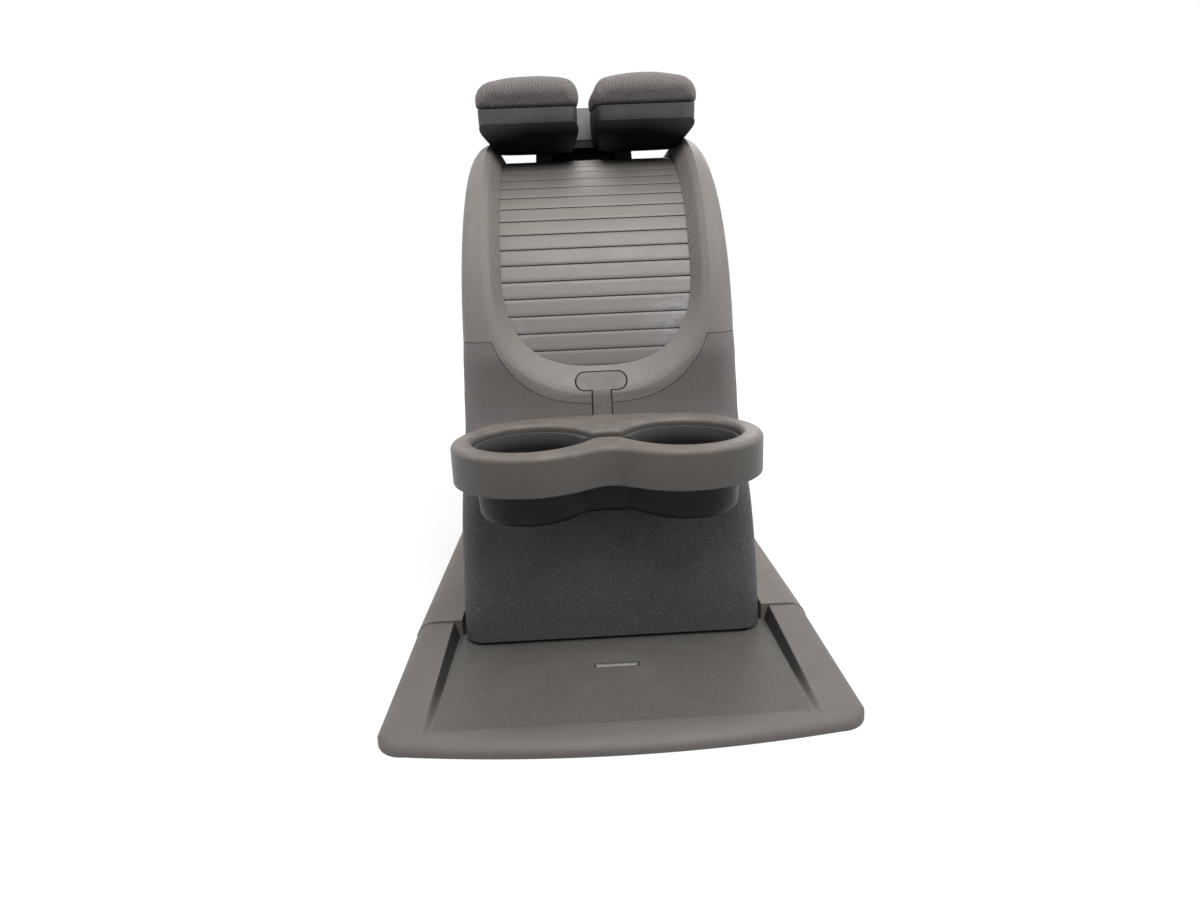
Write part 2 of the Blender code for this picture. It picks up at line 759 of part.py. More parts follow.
def lobes(radius, narrow, centre_shift=0.003):
    """Plan of the two joined wells."""
    points = [(x, y) for x, y in reversed(waist(radius, narrow, 1.0))]
    for step in range(1, 14):
        turn = math.radians(90.0 - 180.0 * step / 14)
        points.append((CUP_X + radius * math.cos(turn), CUP_Y + radius * math.sin(turn)))
    points += waist(radius, narrow, -1.0)
    shifted = []
    for x, y in points:
        middle = max(1.0 - abs(x) / CUP_X, 0.0)
        shifted.append((x, y + centre_shift * middle))
    return mirrored(shifted)


def build_cup_holder():
    """Ring with its T tongue, and the dark insert with two wells."""
    ring = slab("cup_ring", ring_outline(0.0), RING_LOW_Z, RING_TOP_Z, "XY", PARTS)
    round_edges(
        ring, RING_EDGE, 3, lambda a, b: 1.0 if min(a.z, b.z) > RING_TOP_Z - 1e-6 else 0.0
    )
    under = slab(
        "ring_under", ring_outline(-RING_WALL), RING_LOW_Z - 0.01, RING_TOP_Z - RING_PLATE,
        "XY", CUTTERS,
    )
    flare = []
    for z, grow in ((RING_LOW_Z, 0.0), (RING_TOP_Z - 0.0035, 0.0), (RING_TOP_Z - 0.0012, 0.0012),
                    (RING_TOP_Z, 0.0032), (RING_TOP_Z + 0.003, 0.0080)):
        flare.append([(x, y, z) for x, y in lobes(RIM_R + grow, RIM_WAIST + grow)])
    mouth = loft("ring_mouth", flare, CUTTERS)
    cut(ring, under, mouth, tower_solid("tower_grown", -GAP, CUTTERS))
    tongue = tongue_solid(
        "tongue", 0.0, -0.0005, TONGUE_THICK - 0.0005, RING_TOP_Z - RING_PLATE + 0.001, PARTS
    )
    join(ring, tongue)
    finish(ring, SHELL_BROWN)
    flange_z = RING_TOP_Z - RING_PLATE - GAP
    levels = (
        (flange_z, 0.0485, 0.0160),
        (flange_z - 0.0025, 0.0485, 0.0160),
        (flange_z - 0.0026, INSERT_TOP_R, INSERT_WAIST),
        (CUP_LOW_Z + INSERT_FOOT, INSERT_LOW_R, INSERT_WAIST - 0.0012),
        (CUP_LOW_Z + INSERT_FOOT * 0.3, INSERT_LOW_R - 0.0014, INSERT_WAIST - 0.0022),
        (CUP_LOW_Z, INSERT_LOW_R - INSERT_FOOT, INSERT_WAIST - INSERT_FOOT),
    )
    rings = [[(x, y, z) for x, y in lobes(radius, narrow)] for z, radius, narrow in levels]
    insert = loft("cup_insert", rings, PARTS)
    for side in (-1, 1):
        where = side * CUP_X
        well = rod(
            "well",
            WELL_LOW_R,
            (where, CUP_Y, WELL_FLOOR_Z),
            (where, CUP_Y, RING_TOP_Z),
            CUTTERS,
            end_radius=WELL_TOP_R,
            segments=36,
        )
        cut(insert, well)
    saddle = box(
        "saddle",
        (-CUP_X / 2, CUP_Y + 0.003 - 0.0105, SADDLE_Z),
        (CUP_X / 2, CUP_Y + 0.003 + 0.0105, RING_TOP_Z),
        CUTTERS,
    )
    cut(insert, saddle)
    finish(insert, SHELL_DARK)


def tray_outline(side, front, back=0.0):
    """Plan of the front tray, set in by three amounts: straight sides, round corners, bowed front."""
    straight = TRIM_HALF - TRAY_CORNER
    points = [(0.0, TRAY_BACK_Y - back), (TRIM_HALF - side, TRAY_BACK_Y - back)]

    def bow(x):
        """Front edge at a distance from the middle."""
        return TRAY_FRONT_Y + TRAY_BOW * (x / TRIM_HALF) ** 2

    centre_y = bow(straight) + TRAY_CORNER
    for step in range(7):
        turn = math.radians(-84.0 * step / 6)
        points.append((
            straight + (TRAY_CORNER - side) * math.cos(turn),
            centre_y + (TRAY_CORNER - front) * math.sin(turn),
        ))
    for step in range(1, 7):
        x = straight * (1.0 - step / 6)
        points.append((x, bow(x) + front))
    return mirrored(points)


def tray_fall(y):
    """How far the tray's top has come down at a depth, as a share of its height at the joint."""
    share = (TRAY_BACK_Y - y) / (TRAY_BACK_Y - TRAY_FRONT_Y)
    return (1.0 - TRAY_LIP_Z / TRAY_TOP_Z) * min(max(share, 0.0), 1.0)


def build_floor_trims():
    """Front tray and rear surround, thin mouldings open underneath."""
    rings = [[(x, y, 0.0) for x, y in tray_outline(0.0, 0.0)]]
    for step in range(5):
        turn = math.pi / 2 * step / 4
        level = TRAY_TOP_Z - TRAY_EDGE * (1.0 - math.sin(turn))
        inset = 1.0 - math.cos(turn)
        rings.append([
            (x, y, level * (1.0 - tray_fall(y)))
            for x, y in tray_outline(TRAY_EDGE * inset, TRAY_LIP_EDGE * inset)
        ])
    tray = loft("floor_tray", rings, PARTS)
    under = slab(
        "tray_under", tray_outline(TRIM_WALL, TRIM_WALL, TRIM_WALL), -0.01,
        TRAY_PANEL_Z - TRIM_WALL + 0.0005, "XY", CUTTERS,
    )
    recess = []
    front = TRAY_FRONT_Y + 0.006
    for y in (front, TRAY_BACK_Y + 0.01):
        recess.append([
            (-TRAY_PANEL_HALF, y, TRAY_PANEL_Z),
            (TRAY_PANEL_HALF, y, TRAY_PANEL_Z),
            (TRAY_PANEL_HALF - TRAY_WALL_SLANT, y, TRAY_TOP_Z + 0.003),
            (-TRAY_PANEL_HALF + TRAY_WALL_SLANT, y, TRAY_TOP_Z + 0.003),
        ])
    recess = [[(-x if abs(x) else x, y, z) for x, y, z in ring] for ring in recess]
    hollow = loft("tray_recess", recess, CUTTERS)
    notch = box(
        "finger_notch",
        (-NOTCH_HALF, NOTCH_Y - NOTCH_WIDE / 2, TRAY_PANEL_Z - NOTCH_DEEP),
        (NOTCH_HALF, NOTCH_Y + NOTCH_WIDE / 2, TRAY_PANEL_Z + 0.01),
        CUTTERS,
    )
    cut(tray, under, hollow, notch)
    for side in (-1, 1):
        low, high = sorted((side * (TRAY_PANEL_HALF + 0.004), side * (TRIM_HALF - WING_INSET)))
        wing = box(
            "wing_under",
            (low, TRAY_FRONT_Y + 0.044, -0.01),
            (high, TRAY_BACK_Y - TRIM_WALL, TRAY_TOP_Z - WING_ROOF),
            CUTTERS,
        )
        for vert in wing.data.vertices:
            if vert.co.z > 0.0:
                vert.co.z -= TRAY_TOP_Z * tray_fall(vert.co.y)
        cut(tray, wing)
    finish(tray, TRIM_BROWN)

    start = TRAY_BACK_Y + SEAM
    outline = [
        (REAR_TRIM_INSIDE, start),
        (TRIM_HALF, start),
    ]
    corner = REAR_TRIM_CORNER
    for step in range(6):
        turn = math.pi / 2 * step / 5
        outline.append((
            TRIM_HALF - corner * (1.0 - math.cos(turn)), REAR_TRIM_Y - corner * (1.0 - math.sin(turn)),
        ))
    outline.append((0.0, REAR_TRIM_Y))
    whole = outline + [(-x, y) for x, y in reversed(outline) if x > 0]
    whole += [(-REAR_TRIM_INSIDE, REAR_TRIM_INSIDE_Y), (REAR_TRIM_INSIDE, REAR_TRIM_INSIDE_Y)]
    rear = slab("rear_floor_trim", whole, 0.0, REAR_TRIM_Z, "XY", PARTS)

    def outer_rim(a, b):
        """Rounds the upper rim on the outside and behind."""
        high = min(a.z, b.z) > 0.001
        outside = min(abs(a.x), abs(b.x)) > REAR_TRIM_INSIDE + 0.01 or min(a.y, b.y) > REAR_TRIM_Y - 0.03
        at_joint = max(a.y, b.y) < start + 1e-5
        return 1.0 if high and outside and not at_joint else 0.0

    round_edges(rear, TRIM_EDGE, 5, outer_rim)
    for side in (-1, 1):
        low, high = sorted((side * (REAR_TRIM_INSIDE + TRIM_WALL), side * (TRIM_HALF - WING_INSET)))
        cut(rear, box(
            "rear_wing_under",
            (low, start + TRIM_WALL, -0.01),
            (high, REAR_TRIM_Y - REAR_TRIM_CORNER, REAR_TRIM_Z - WING_ROOF),
            CUTTERS,
        ))
    cut(rear, box(
        "rear_bar_under",
        (-TRIM_HALF + REAR_TRIM_CORNER, REAR_TRIM_INSIDE_Y + TRIM_WALL, -0.01),
        (TRIM_HALF - REAR_TRIM_CORNER, REAR_TRIM_Y - WING_INSET, REAR_TRIM_Z - WING_ROOF),
        CUTTERS,
    ))
    finish(rear, TRIM_BROWN)


def build_running_gear():
    """Floor plate, two slotted rails with bolts, four glides and the console's carriage."""
    plate_half = REAR_TRIM_INSIDE - GAP
    plate_front = TRAY_BACK_Y + SEAM
    plate_rear = REAR_TRIM_INSIDE_Y - GAP
    rail_front = plate_front + RAIL_INSET
    rail_rear = plate_rear - RAIL_INSET
    plate = box(
        "floor_plate", (-plate_half, plate_front, 0.0), (plate_half, plate_rear, PLATE_THICK), PARTS
    )
    finish(plate, STEEL)
    rail_low = PLATE_THICK + GAP
    rail_high = rail_low + RAIL_TALL
    floor_in = rail_low + RAIL_WALL
    roof_in = rail_high - RAIL_WALL
    wall_in = RAIL_HALF - RAIL_WALL
    section = [
        (-RAIL_HALF, rail_low), (RAIL_HALF, rail_low), (RAIL_HALF, rail_high), (RAIL_SLOT, rail_high),
        (RAIL_SLOT, roof_in), (wall_in, roof_in), (wall_in, floor_in), (-wall_in, floor_in),
        (-wall_in, roof_in), (-RAIL_SLOT, roof_in), (-RAIL_SLOT, rail_high), (-RAIL_HALF, rail_high),
    ]
    neck = RAIL_SLOT - 0.0008
    shoe = wall_in - 0.0005
    seat_z = CARRIAGE_Z - GAP
    glide = [
        (-shoe, floor_in + GAP), (shoe, floor_in + GAP), (shoe, roof_in - 0.0006),
        (neck, roof_in - 0.0006), (neck, rail_high + 0.0008), (shoe, rail_high + 0.0008),
        (shoe, seat_z), (-shoe, seat_z), (-shoe, rail_high + 0.0008), (-neck, rail_high + 0.0008),
        (-neck, roof_in - 0.0006), (-shoe, roof_in - 0.0006),
    ]
    for name, side in (("left", -1), ("right", 1)):
        centre = side * RAIL_X
        outline = [(centre + x, z) for x, z in section]
        rail = slab(f"rail_{name}", outline, rail_front, rail_rear, "XZ", PARTS)
        finish(rail, STEEL)
        for place, y in (("front", GLIDE_FRONT_Y), ("rear", GLIDE_REAR_Y)):
            outline = [(centre + x, z) for x, z in glide]
            block = slab(f"glide_{place}_{name}", outline, y, y + GLIDE_LONG, "XZ", PARTS)
            finish(block, INNER_BLACK)
        for place, y in (("front", rail_front + 0.010), ("rear", rail_rear - 0.010)):
            bolt = rod(
                f"rail_bolt_{place}_{name}", 0.0048, (centre, y, floor_in + GAP),
                (centre, y, floor_in + 0.0040), PARTS, segments=6,
            )
            finish(bolt, STEEL)
    inside = half_width(CARRIAGE_Z) - WALL - GAP
    corner = LOWER_ROUND - WALL + 0.001
    rear_corner = SHOULDER_ROUND - WALL + 0.001
    front_y = TOWER_FRONT[0][0] + WALL + 0.002
    rear_y = TOWER_REAR_Y - WALL - GAP
    outline = [
        (-inside + corner, front_y), (inside - corner, front_y), (inside, front_y + corner),
        (inside, rear_y - rear_corner), (inside - rear_corner, rear_y),
        (-inside + rear_corner, rear_y), (-inside, rear_y - rear_corner), (-inside, front_y + corner),
    ]
    carriage = slab(
        "carriage", outline, CARRIAGE_Z, CARRIAGE_Z + CARRIAGE_THICK, "XY", PARTS
    )
    finish(carriage, STEEL)


def build_inner_frame():
    """Gate-shaped steel frame that carries the deck and the armrest pillar."""
    low = CARRIAGE_Z + CARRIAGE_THICK + GAP
    high = DECK_Z - WALL - GAP
    outer = FRAME_LEG_X + FRAME_LEG_HALF
    inner = FRAME_LEG_X - FRAME_LEG_HALF
    outline = [
        (-outer, low), (-inner, low), (-inner, high - FRAME_BAR_TALL), (inner, high - FRAME_BAR_TALL),
        (inner, low), (outer, low), (outer, high), (-outer, high),
    ]
    frame = slab("inner_frame", outline, FRAME_LOW_Y, FRAME_HIGH_Y, "XZ", PARTS)
    finish(frame, STEEL)


def build_pillar():
    """Moulded pillar with two legs, its front cover and the hinge shaft."""
    foot_low = DECK_Z + GAP
    foot_high = foot_low + PILLAR_FOOT_TALL
    half = [
        (PILLAR_RECESS, foot_high - 0.001),
        (PILLAR_HALF_LOW, foot_high - 0.001),
        (PILLAR_HALF_TOP, PILLAR_TOP_Z - PILLAR_ROUND),
        (PILLAR_HALF_TOP - PILLAR_ROUND * 0.3, PILLAR_TOP_Z - PILLAR_ROUND * 0.3),
        (PILLAR_HALF_TOP - PILLAR_ROUND, PILLAR_TOP_Z),
    ]
    arch = [(PILLAR_RECESS - 0.006, PILLAR_RECESS_Z), (PILLAR_RECESS, PILLAR_RECESS_Z - 0.006)]
    outline = half + [(-x, z) for x, z in reversed(half)]
    outline += [(-x, z) for x, z in reversed(arch)] + arch
    pillar = slab("armrest_pillar", outline, PILLAR_FRONT_Y, PILLAR_REAR_Y, "XZ", PARTS)
    foot = box(
        "pillar_foot",
        (-PILLAR_FOOT_HALF, PILLAR_FOOT_FRONT_Y, foot_low),
        (PILLAR_FOOT_HALF, PILLAR_FOOT_REAR_Y, foot_high),
        PARTS,
    )
    back = box(
        "pillar_back",
        (-PILLAR_RECESS - 0.001, PILLAR_REAR_Y - PILLAR_BACK, foot_high - 0.001),
        (PILLAR_RECESS + 0.001, PILLAR_REAR_Y, PILLAR_RECESS_Z + 0.001),
        PARTS,
    )
    join(pillar, foot, back)
    bore = rod(
        "shaft_bore", SHAFT_R + GAP, (-0.08, HINGE_Y, HINGE_Z), (0.08, HINGE_Y, HINGE_Z), CUTTERS
    )
    ledge = box(
        "cover_seat",
        (-COVER_HALF - SEAM, PILLAR_FRONT_Y - 0.01, COVER_LOW_Z - SEAM),
        (COVER_HALF + SEAM, PILLAR_FRONT_Y + 0.0015, PILLAR_TOP_Z + 0.01),
        CUTTERS,
    )
    cut(pillar, bore, ledge)
    for name, side in (("left", -1), ("right", 1)):
        for place, y in (("front", PILLAR_FOOT_FRONT_Y + 0.010),):
            cut(pillar, rod(
                "foot_hole", 0.0032, (side * 0.052, y, foot_low - 0.01),
                (side * 0.052, y, foot_high + 0.01), CUTTERS, segments=16,
            ))
            bolt = rod(
                f"pillar_bolt_{name}", 0.0055, (side * 0.052, y, foot_high + GAP),
                (side * 0.052, y, foot_high + 0.0045), PARTS, segments=6,
            )
            finish(bolt, STEEL)
    finish(pillar, INNER_BLACK)
    cover_front = PILLAR_FRONT_Y + 0.0015 - GAP - COVER_THICK
    cover = box(
        "pillar_cover",
        (-COVER_HALF, cover_front, COVER_LOW_Z),
        (COVER_HALF, cover_front + COVER_THICK, PILLAR_TOP_Z - 0.001),
        PARTS,
    )
    finish(cover, COVER_GREY)
    shaft = rod(
        "hinge_shaft", SHAFT_R, (-SHAFT_HALF, HINGE_Y, HINGE_Z), (SHAFT_HALF, HINGE_Y, HINGE_Z), PARTS
    )
    finish(shaft, STEEL)
    for name, side in (("left", -1), ("right", 1)):
        start = side * (SHAFT_HALF + GAP)
        end = side * (SHAFT_HALF + GAP + CAP_LONG)
        cap = rod(
            f"shaft_cap_{name}", CAP_R, (start, HINGE_Y, HINGE_Z), (end, HINGE_Y, HINGE_Z), PARTS,
            end_radius=CAP_R * 0.8,
        )
        finish(cap, INNER_BLACK)


def arm_point(x, s, t):
    """Point of an armrest: s along it from the hinge (negative forwards), t above it."""
    turn = math.radians(REST_DEG)
    y = HINGE_Y + s * math.cos(turn) - t * math.sin(turn)
    z = HINGE_Z + s * math.sin(turn) + t * math.cos(turn)
    return (x, y, z)


def tilt(thing):
    """Takes a piece from the armrest's own frame to its place."""
    turn = Matrix.Rotation(math.radians(REST_DEG), 4, "X")
    thing.data.transform(Matrix.Translation((0.0, HINGE_Y, HINGE_Z)) @ turn)


def hull_section(side, s, low_t, narrow):
    """Cross-section of a hull: vertical band, near-upright walls and an outer shoulder clearance."""
    depth = ARM_BAND_T - low_t
    share = min(depth / HULL_DEPTH, 1.0)
    top_in = ARM_IN + HULL_SET_IN + narrow
    top_out = ARM_OUT - HULL_SET_IN - narrow
    seam_t = ARM_SEAM_T - GAP
    across = [(top_in, seam_t)]
    across += [(top_in + inset * share, ARM_BAND_T - depth * fall) for fall, inset in HULL_INNER]
    across += [
        (top_out - inset * share, ARM_BAND_T - depth * fall) for fall, inset in reversed(HULL_OUTER)
    ]
    across.append((top_out, seam_t))
    return [arm_point(side * x, s, t) for x, t in across]


def pad_section(side, s, top_t, narrow):
    """Cross-section of a fabric pad, crowned across."""
    low_in, low_out = ARM_IN + narrow, ARM_OUT - narrow
    across = [
        (low_in, ARM_SEAM_T),
        (low_in - 0.0004, ARM_SEAM_T + (top_t - ARM_SEAM_T) * 0.45),
        (low_in + 0.0035, ARM_SEAM_T + (top_t - ARM_SEAM_T) * 0.78),
        (low_in + 0.0120, top_t - 0.0022),
        (low_in + 0.0300, top_t),
        (low_out - 0.0340, top_t),
        (low_out - 0.0150, top_t - 0.0028),
        (low_out - 0.0045, ARM_SEAM_T + (top_t - ARM_SEAM_T) * 0.74),
        (low_out + 0.0004, ARM_SEAM_T + (top_t - ARM_SEAM_T) * 0.42),
        (low_out, ARM_SEAM_T),
    ]
    return [arm_point(side * x, s, t) for x, t in across]


def build_armrest(name, side):
    """One armrest: moulded hull with a hinge knuckle, bush, carrier plate and fabric pad."""
    pivot = bpy.data.objects.new(f"{name}_armrest_pivot", None)
    pivot.location = (0.0, HINGE_Y, HINGE_Z)
    PARTS.objects.link(pivot)
    stations = (
        (-ARM_LENGTH, ARM_BAND_T - 0.0010, 0.0110),
        (-ARM_LENGTH + 0.0020, ARM_BAND_T - 0.0030, 0.0055),
        (-ARM_LENGTH + 0.0070, ARM_BAND_T - 0.0080, 0.0018),
        (-ARM_LENGTH + 0.0160, ARM_BAND_T - 0.0155, 0.0003),
        (-ARM_LENGTH + 0.0270, ARM_LOW_T + 0.0035, 0.0),
        (-ARM_LENGTH + HULL_CHIN, ARM_LOW_T, 0.0),
        (-ARM_LENGTH * 0.5, ARM_LOW_T, 0.0),
        (-ARM_REAR, ARM_LOW_T, 0.0),
    )
    rings = [hull_section(side, s, low_t, narrow) for s, low_t, narrow in stations]
    hull = loft(f"{name}_hull", rings, PARTS)
    inner, outer = side * KNUCKLE_IN, side * KNUCKLE_OUT
    outline = [(-0.050, ARM_SEAM_T - 0.002), (-0.010, ARM_SEAM_T - 0.002)]
    for step in range(17):
        turn = math.radians(80.0 - 170.0 * step / 16)
        outline.append((KNUCKLE_R * math.cos(turn), KNUCKLE_R * math.sin(turn)))
    outline.append((-0.050, -KNUCKLE_R))
    knuckle = slab("knuckle", outline, *sorted((inner, outer)), "YZ", PARTS)
    tilt(knuckle)
    join(hull, knuckle)
    hole = rod(
        f"{name}_bush_hole", BUSH_R + GAP, (side * 0.05, HINGE_Y, HINGE_Z),
        (side * 0.11, HINGE_Y, HINGE_Z), CUTTERS,
    )
    pocket_x = sorted((side * (ARM_IN + ARM_POCKET_INSET), side * (ARM_OUT - ARM_POCKET_INSET)))
    pocket = box(
        f"{name}_plate_pocket",
        (pocket_x[0], ARM_POCKET_FRONT, ARM_SEAM_T - ARM_POCKET),
        (pocket_x[1], ARM_POCKET_REAR, ARM_SEAM_T + 0.01),
        CUTTERS,
    )
    tilt(pocket)
    cut(hull, hole, pocket)
    place_origin(hull, (0.0, HINGE_Y, HINGE_Z))
    finish(hull, HULL_DARK)
    bush = rod(
        f"{name}_bush", BUSH_R, (inner, HINGE_Y, HINGE_Z), (outer, HINGE_Y, HINGE_Z), PARTS
    )
    cut(bush, rod(
        f"{name}_bush_bore", SHAFT_R + GAP, (side * 0.05, HINGE_Y, HINGE_Z),
        (side * 0.11, HINGE_Y, HINGE_Z), CUTTERS,
    ))
    place_origin(bush, (0.0, HINGE_Y, HINGE_Z))
    finish(bush, BUSH_WHITE)
    plate = box(
        f"{name}_carrier_plate",
        (pocket_x[0] + SEAM, ARM_POCKET_FRONT + SEAM, ARM_SEAM_T - ARM_POCKET + GAP),
        (pocket_x[1] - SEAM, ARM_POCKET_REAR - SEAM, ARM_SEAM_T - GAP),
        PARTS,
    )
    tilt(plate)
    place_origin(plate, (0.0, HINGE_Y, HINGE_Z))
    finish(plate, STEEL)
    crown = ARM_TOP_T
    stations = (
        (-ARM_LENGTH - 0.0005, ARM_SEAM_T + 0.0120, 0.0070),
        (-ARM_LENGTH + 0.0035, crown - 0.0075, 0.0030),
        (-ARM_LENGTH + 0.0110, crown - 0.0028, 0.0008),
        (-ARM_LENGTH + 0.0300, crown - 0.0003, 0.0),
        (-ARM_LENGTH * 0.55, crown, 0.0),
        (-ARM_REAR - 0.0250, crown - 0.0005, 0.0),
        (-ARM_REAR - 0.0080, crown - 0.0045, 0.0008),
        (-ARM_REAR, crown - 0.0140, 0.0040),
    )
    rings = [pad_section(side, s, top_t, narrow) for s, top_t, narrow in stations]
    pad = loft(f"{name}_pad", rings, PARTS)
    place_origin(pad, (0.0, HINGE_Y, HINGE_Z))
    finish(pad, FABRIC)
    for piece in (hull, bush, plate, pad):
        piece.parent = pivot
        piece.location = (0.0, 0.0, 0.0)


clear_scene()
PARTS = collection("car_armrest")
CUTTERS = collection("cutters")
SHELL_BROWN = material("shell_brown", (0.105, 0.095, 0.088), 0.50)
SHELL_DARK = material("shell_dark", (0.050, 0.048, 0.052), 0.62)
SHUTTER_TAUPE = material("shutter_taupe", (0.165, 0.150, 0.138), 0.38)
TRIM_BROWN = material("trim_brown", (0.095, 0.088, 0.082), 0.60)
INNER_BLACK = material("inner_black", (0.020, 0.020, 0.022), 0.55)
COVER_GREY = material("cover_grey", (0.085, 0.085, 0.088), 0.50)
HULL_DARK = material("hull_dark", (0.040, 0.040, 0.043), 0.50)
FABRIC = material("fabric", (0.060, 0.054, 0.052), 0.95)
STEEL = material("steel", (0.45, 0.45, 0.46), 0.35, 1.0)
BUSH_WHITE = material("bush_white", (0.70, 0.69, 0.66), 0.45)

build_shells()
build_shutter()
build_bin()
build_cup_holder()
build_floor_trims()
build_running_gear()
build_inner_frame()
build_pillar()
build_armrest("left", -1)
build_armrest("right", 1)
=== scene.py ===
"""Looks of the sliding floor console: fine-grained mouldings, slatted shutter, fabric armrests.

Metres, in the frame's own axes: +X right, +Y to the rear, +Z up. The mouldings that show are
modelled again with soft edges on the same driving sizes as the frame's solids.
"""
import json
import math

import bmesh
import bpy
from mathutils import Matrix, Vector, noise
from mathutils.geometry import interpolate_bezier


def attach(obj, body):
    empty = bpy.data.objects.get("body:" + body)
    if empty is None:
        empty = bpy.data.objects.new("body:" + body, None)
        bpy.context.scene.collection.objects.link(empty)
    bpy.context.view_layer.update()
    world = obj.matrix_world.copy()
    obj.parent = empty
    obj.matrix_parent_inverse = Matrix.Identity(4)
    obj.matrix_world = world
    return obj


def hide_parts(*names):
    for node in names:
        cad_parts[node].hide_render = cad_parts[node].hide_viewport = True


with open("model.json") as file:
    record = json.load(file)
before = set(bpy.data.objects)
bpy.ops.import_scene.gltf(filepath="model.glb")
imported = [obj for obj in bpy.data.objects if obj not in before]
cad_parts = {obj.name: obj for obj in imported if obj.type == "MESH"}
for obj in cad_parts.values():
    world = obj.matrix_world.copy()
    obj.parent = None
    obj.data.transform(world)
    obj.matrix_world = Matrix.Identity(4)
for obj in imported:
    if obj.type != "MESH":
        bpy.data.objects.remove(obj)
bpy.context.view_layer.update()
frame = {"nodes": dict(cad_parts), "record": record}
NODES = frame["nodes"]

# Clearances and walls of the frame's solids
GAP = 0.0003
SEAM = 0.0005
WALL = 0.003

# Shutter circle, and the ridge outside it
SHUTTER_R = 0.183
LIP_R = SHUTTER_R + 0.001
RIDGE_R = SHUTTER_R + 0.019
TOWER_FACE_Y = -0.064
SHUTTER_Y = TOWER_FACE_Y + RIDGE_R
SHUTTER_Z = 0.242
SHUTTER_THICK = 0.0035
SHUTTER_HALF = 0.088
SHUTTER_LOW_DEG = -6.0
SHUTTER_HIGH_DEG = 93.5
SLAT_PITCH = 0.015
SLAT_FIRST = 0.58
SLAT_GROOVE = 0.0012
SLAT_GROOVE_DEEP = 0.0022
SLAT_EASE = 0.00025
ARROW_DEG = 74.5
ARROW_HALF = 0.0036
ARROW_TALL = 0.005
ARROW_BAR = 0.0011
ARROW_RAISED = 0.0004

# Opening that shows the shutter
RIDGE_SOFT = 0.0055
RIDGE_FLARE = 0.0036
OPENING_HALF = 0.082
OPENING_TOP_EXTRA = 0.0025
OPENING_SLANT = 0.01
OPENING_START_DEG = 25.2
OPENING_BOTTOM_DEG = -3.0
OPENING_SLANT_DEG = -6.5
OPENING_END_DEG = 94.5
OPENING_POWER = 2.7
OPENING_ROW_DEG = 2.5
OPENING_STEPS = 36
BEZEL_WIDEN = 0.008
BEZEL_DROP_DEG = -1.44
BEZEL_REACH = 0.012
BEZEL_END_DEG = 96.0
SPLIT_MARGIN = 0.007
SPLIT_MARGIN_DEG = -2.0
SPLIT_Z = 0.258

# Tower
TOWER_FRONT = (
    (-0.1217, 0.013),
    (-0.118, 0.055),
    (-0.111, 0.088),
    (-0.102, 0.116),
    (-0.0935, 0.134),
    (-0.0825, 0.15),
    (-0.0715, 0.165),
    (-0.063, 0.179),
    (-0.059, 0.192),
    (-0.06, 0.214),
)
FOOT_REAR_Z = 0.02
HOLLOW_FOOT_Z = -0.01
HOLLOW_RUN = 0.003
DECK_Z = SHUTTER_Z + LIP_R - 0.002
TOWER_TOP = (
    (SHUTTER_Y + 0.052, DECK_Z + 0.0165),
    (SHUTTER_Y + 0.112, DECK_Z + 0.013),
)
TOWER_REAR_Y = SHUTTER_Y + 0.207
TOWER_REAR_TOP_Z = DECK_Z + 0.01
TOWER_REAR_CORNER = 0.036
TOWER_WIDEST = 0.127
TOWER_HALF = (
    (0.000, TOWER_WIDEST),
    (0.11, 0.1245),
    (0.165, 0.123),
    (0.205, 0.1215),
    (0.258, 0.1178),
    (0.35, 0.1158),
    (0.446, 0.114),
)
SHOULDER_ROUND = 0.026
LOWER_ROUND = 0.018
LOWER_ROUND_TOP_Z = 0.17
ROUND_SEGMENTS = 9
DECK_HALF = 0.1
DECK_RISE = 0.03
PANEL_HALF = 0.09
PANEL_LOW_Z = 0.06
PANEL_HIGH_Z = DECK_Z - 0.039

# Cup holder
CUP_X = 0.058
CUP_Y = -0.136
RING_R = 0.06
RING_BACK_Y = -0.059
RING_BACK = (
    (0.02, 0.0012),
    (0.041, 0.0033),
    (0.058, 0.006),
    (0.072, 0.0097),
    (0.085, 0.0155),
    (0.097, 0.0245),
)
RING_BACK_END_DEG = 31.0
RING_WAIST = 0.026
WAIST_SOFT = 0.011
LOBE_STEPS = 44
RING_TOP_Z = 0.192
RING_LOW_Z = 0.162
RING_WALL = 0.0035
RING_PLATE = 0.006
RING_EDGE = 0.0048
RIM_R = 0.044
RIM_WAIST = 0.0115
RIM_SOFT = 0.0036
WELL_TOP_R = 0.042
WELL_LOW_R = 0.0355
WELL_FLOOR_Z = 0.1365
WELL_CORNER = 0.004
CUP_LOW_Z = 0.134
INSERT_TOP_R = 0.044
INSERT_LOW_R = 0.0418
INSERT_WAIST = 0.019
INSERT_FOOT = 0.0045
FLANGE_R = 0.0485
FLANGE_WAIST = 0.016
SADDLE_Z = 0.177
SADDLE_SHIFT = 0.003
SADDLE_FRONT = 0.0075
SADDLE_BACK = 0.0135
TONGUE_STEM = 0.008
TONGUE_BAR = 0.015
TONGUE_BAR_Z = 0.22
TONGUE_BAR_HALF = 0.007
TONGUE_THICK = 0.0024
TONGUE_GAP = 0.0009
TONGUE_SOFT = 0.0006
TONGUE_BEND = (-0.06, 0.2105)

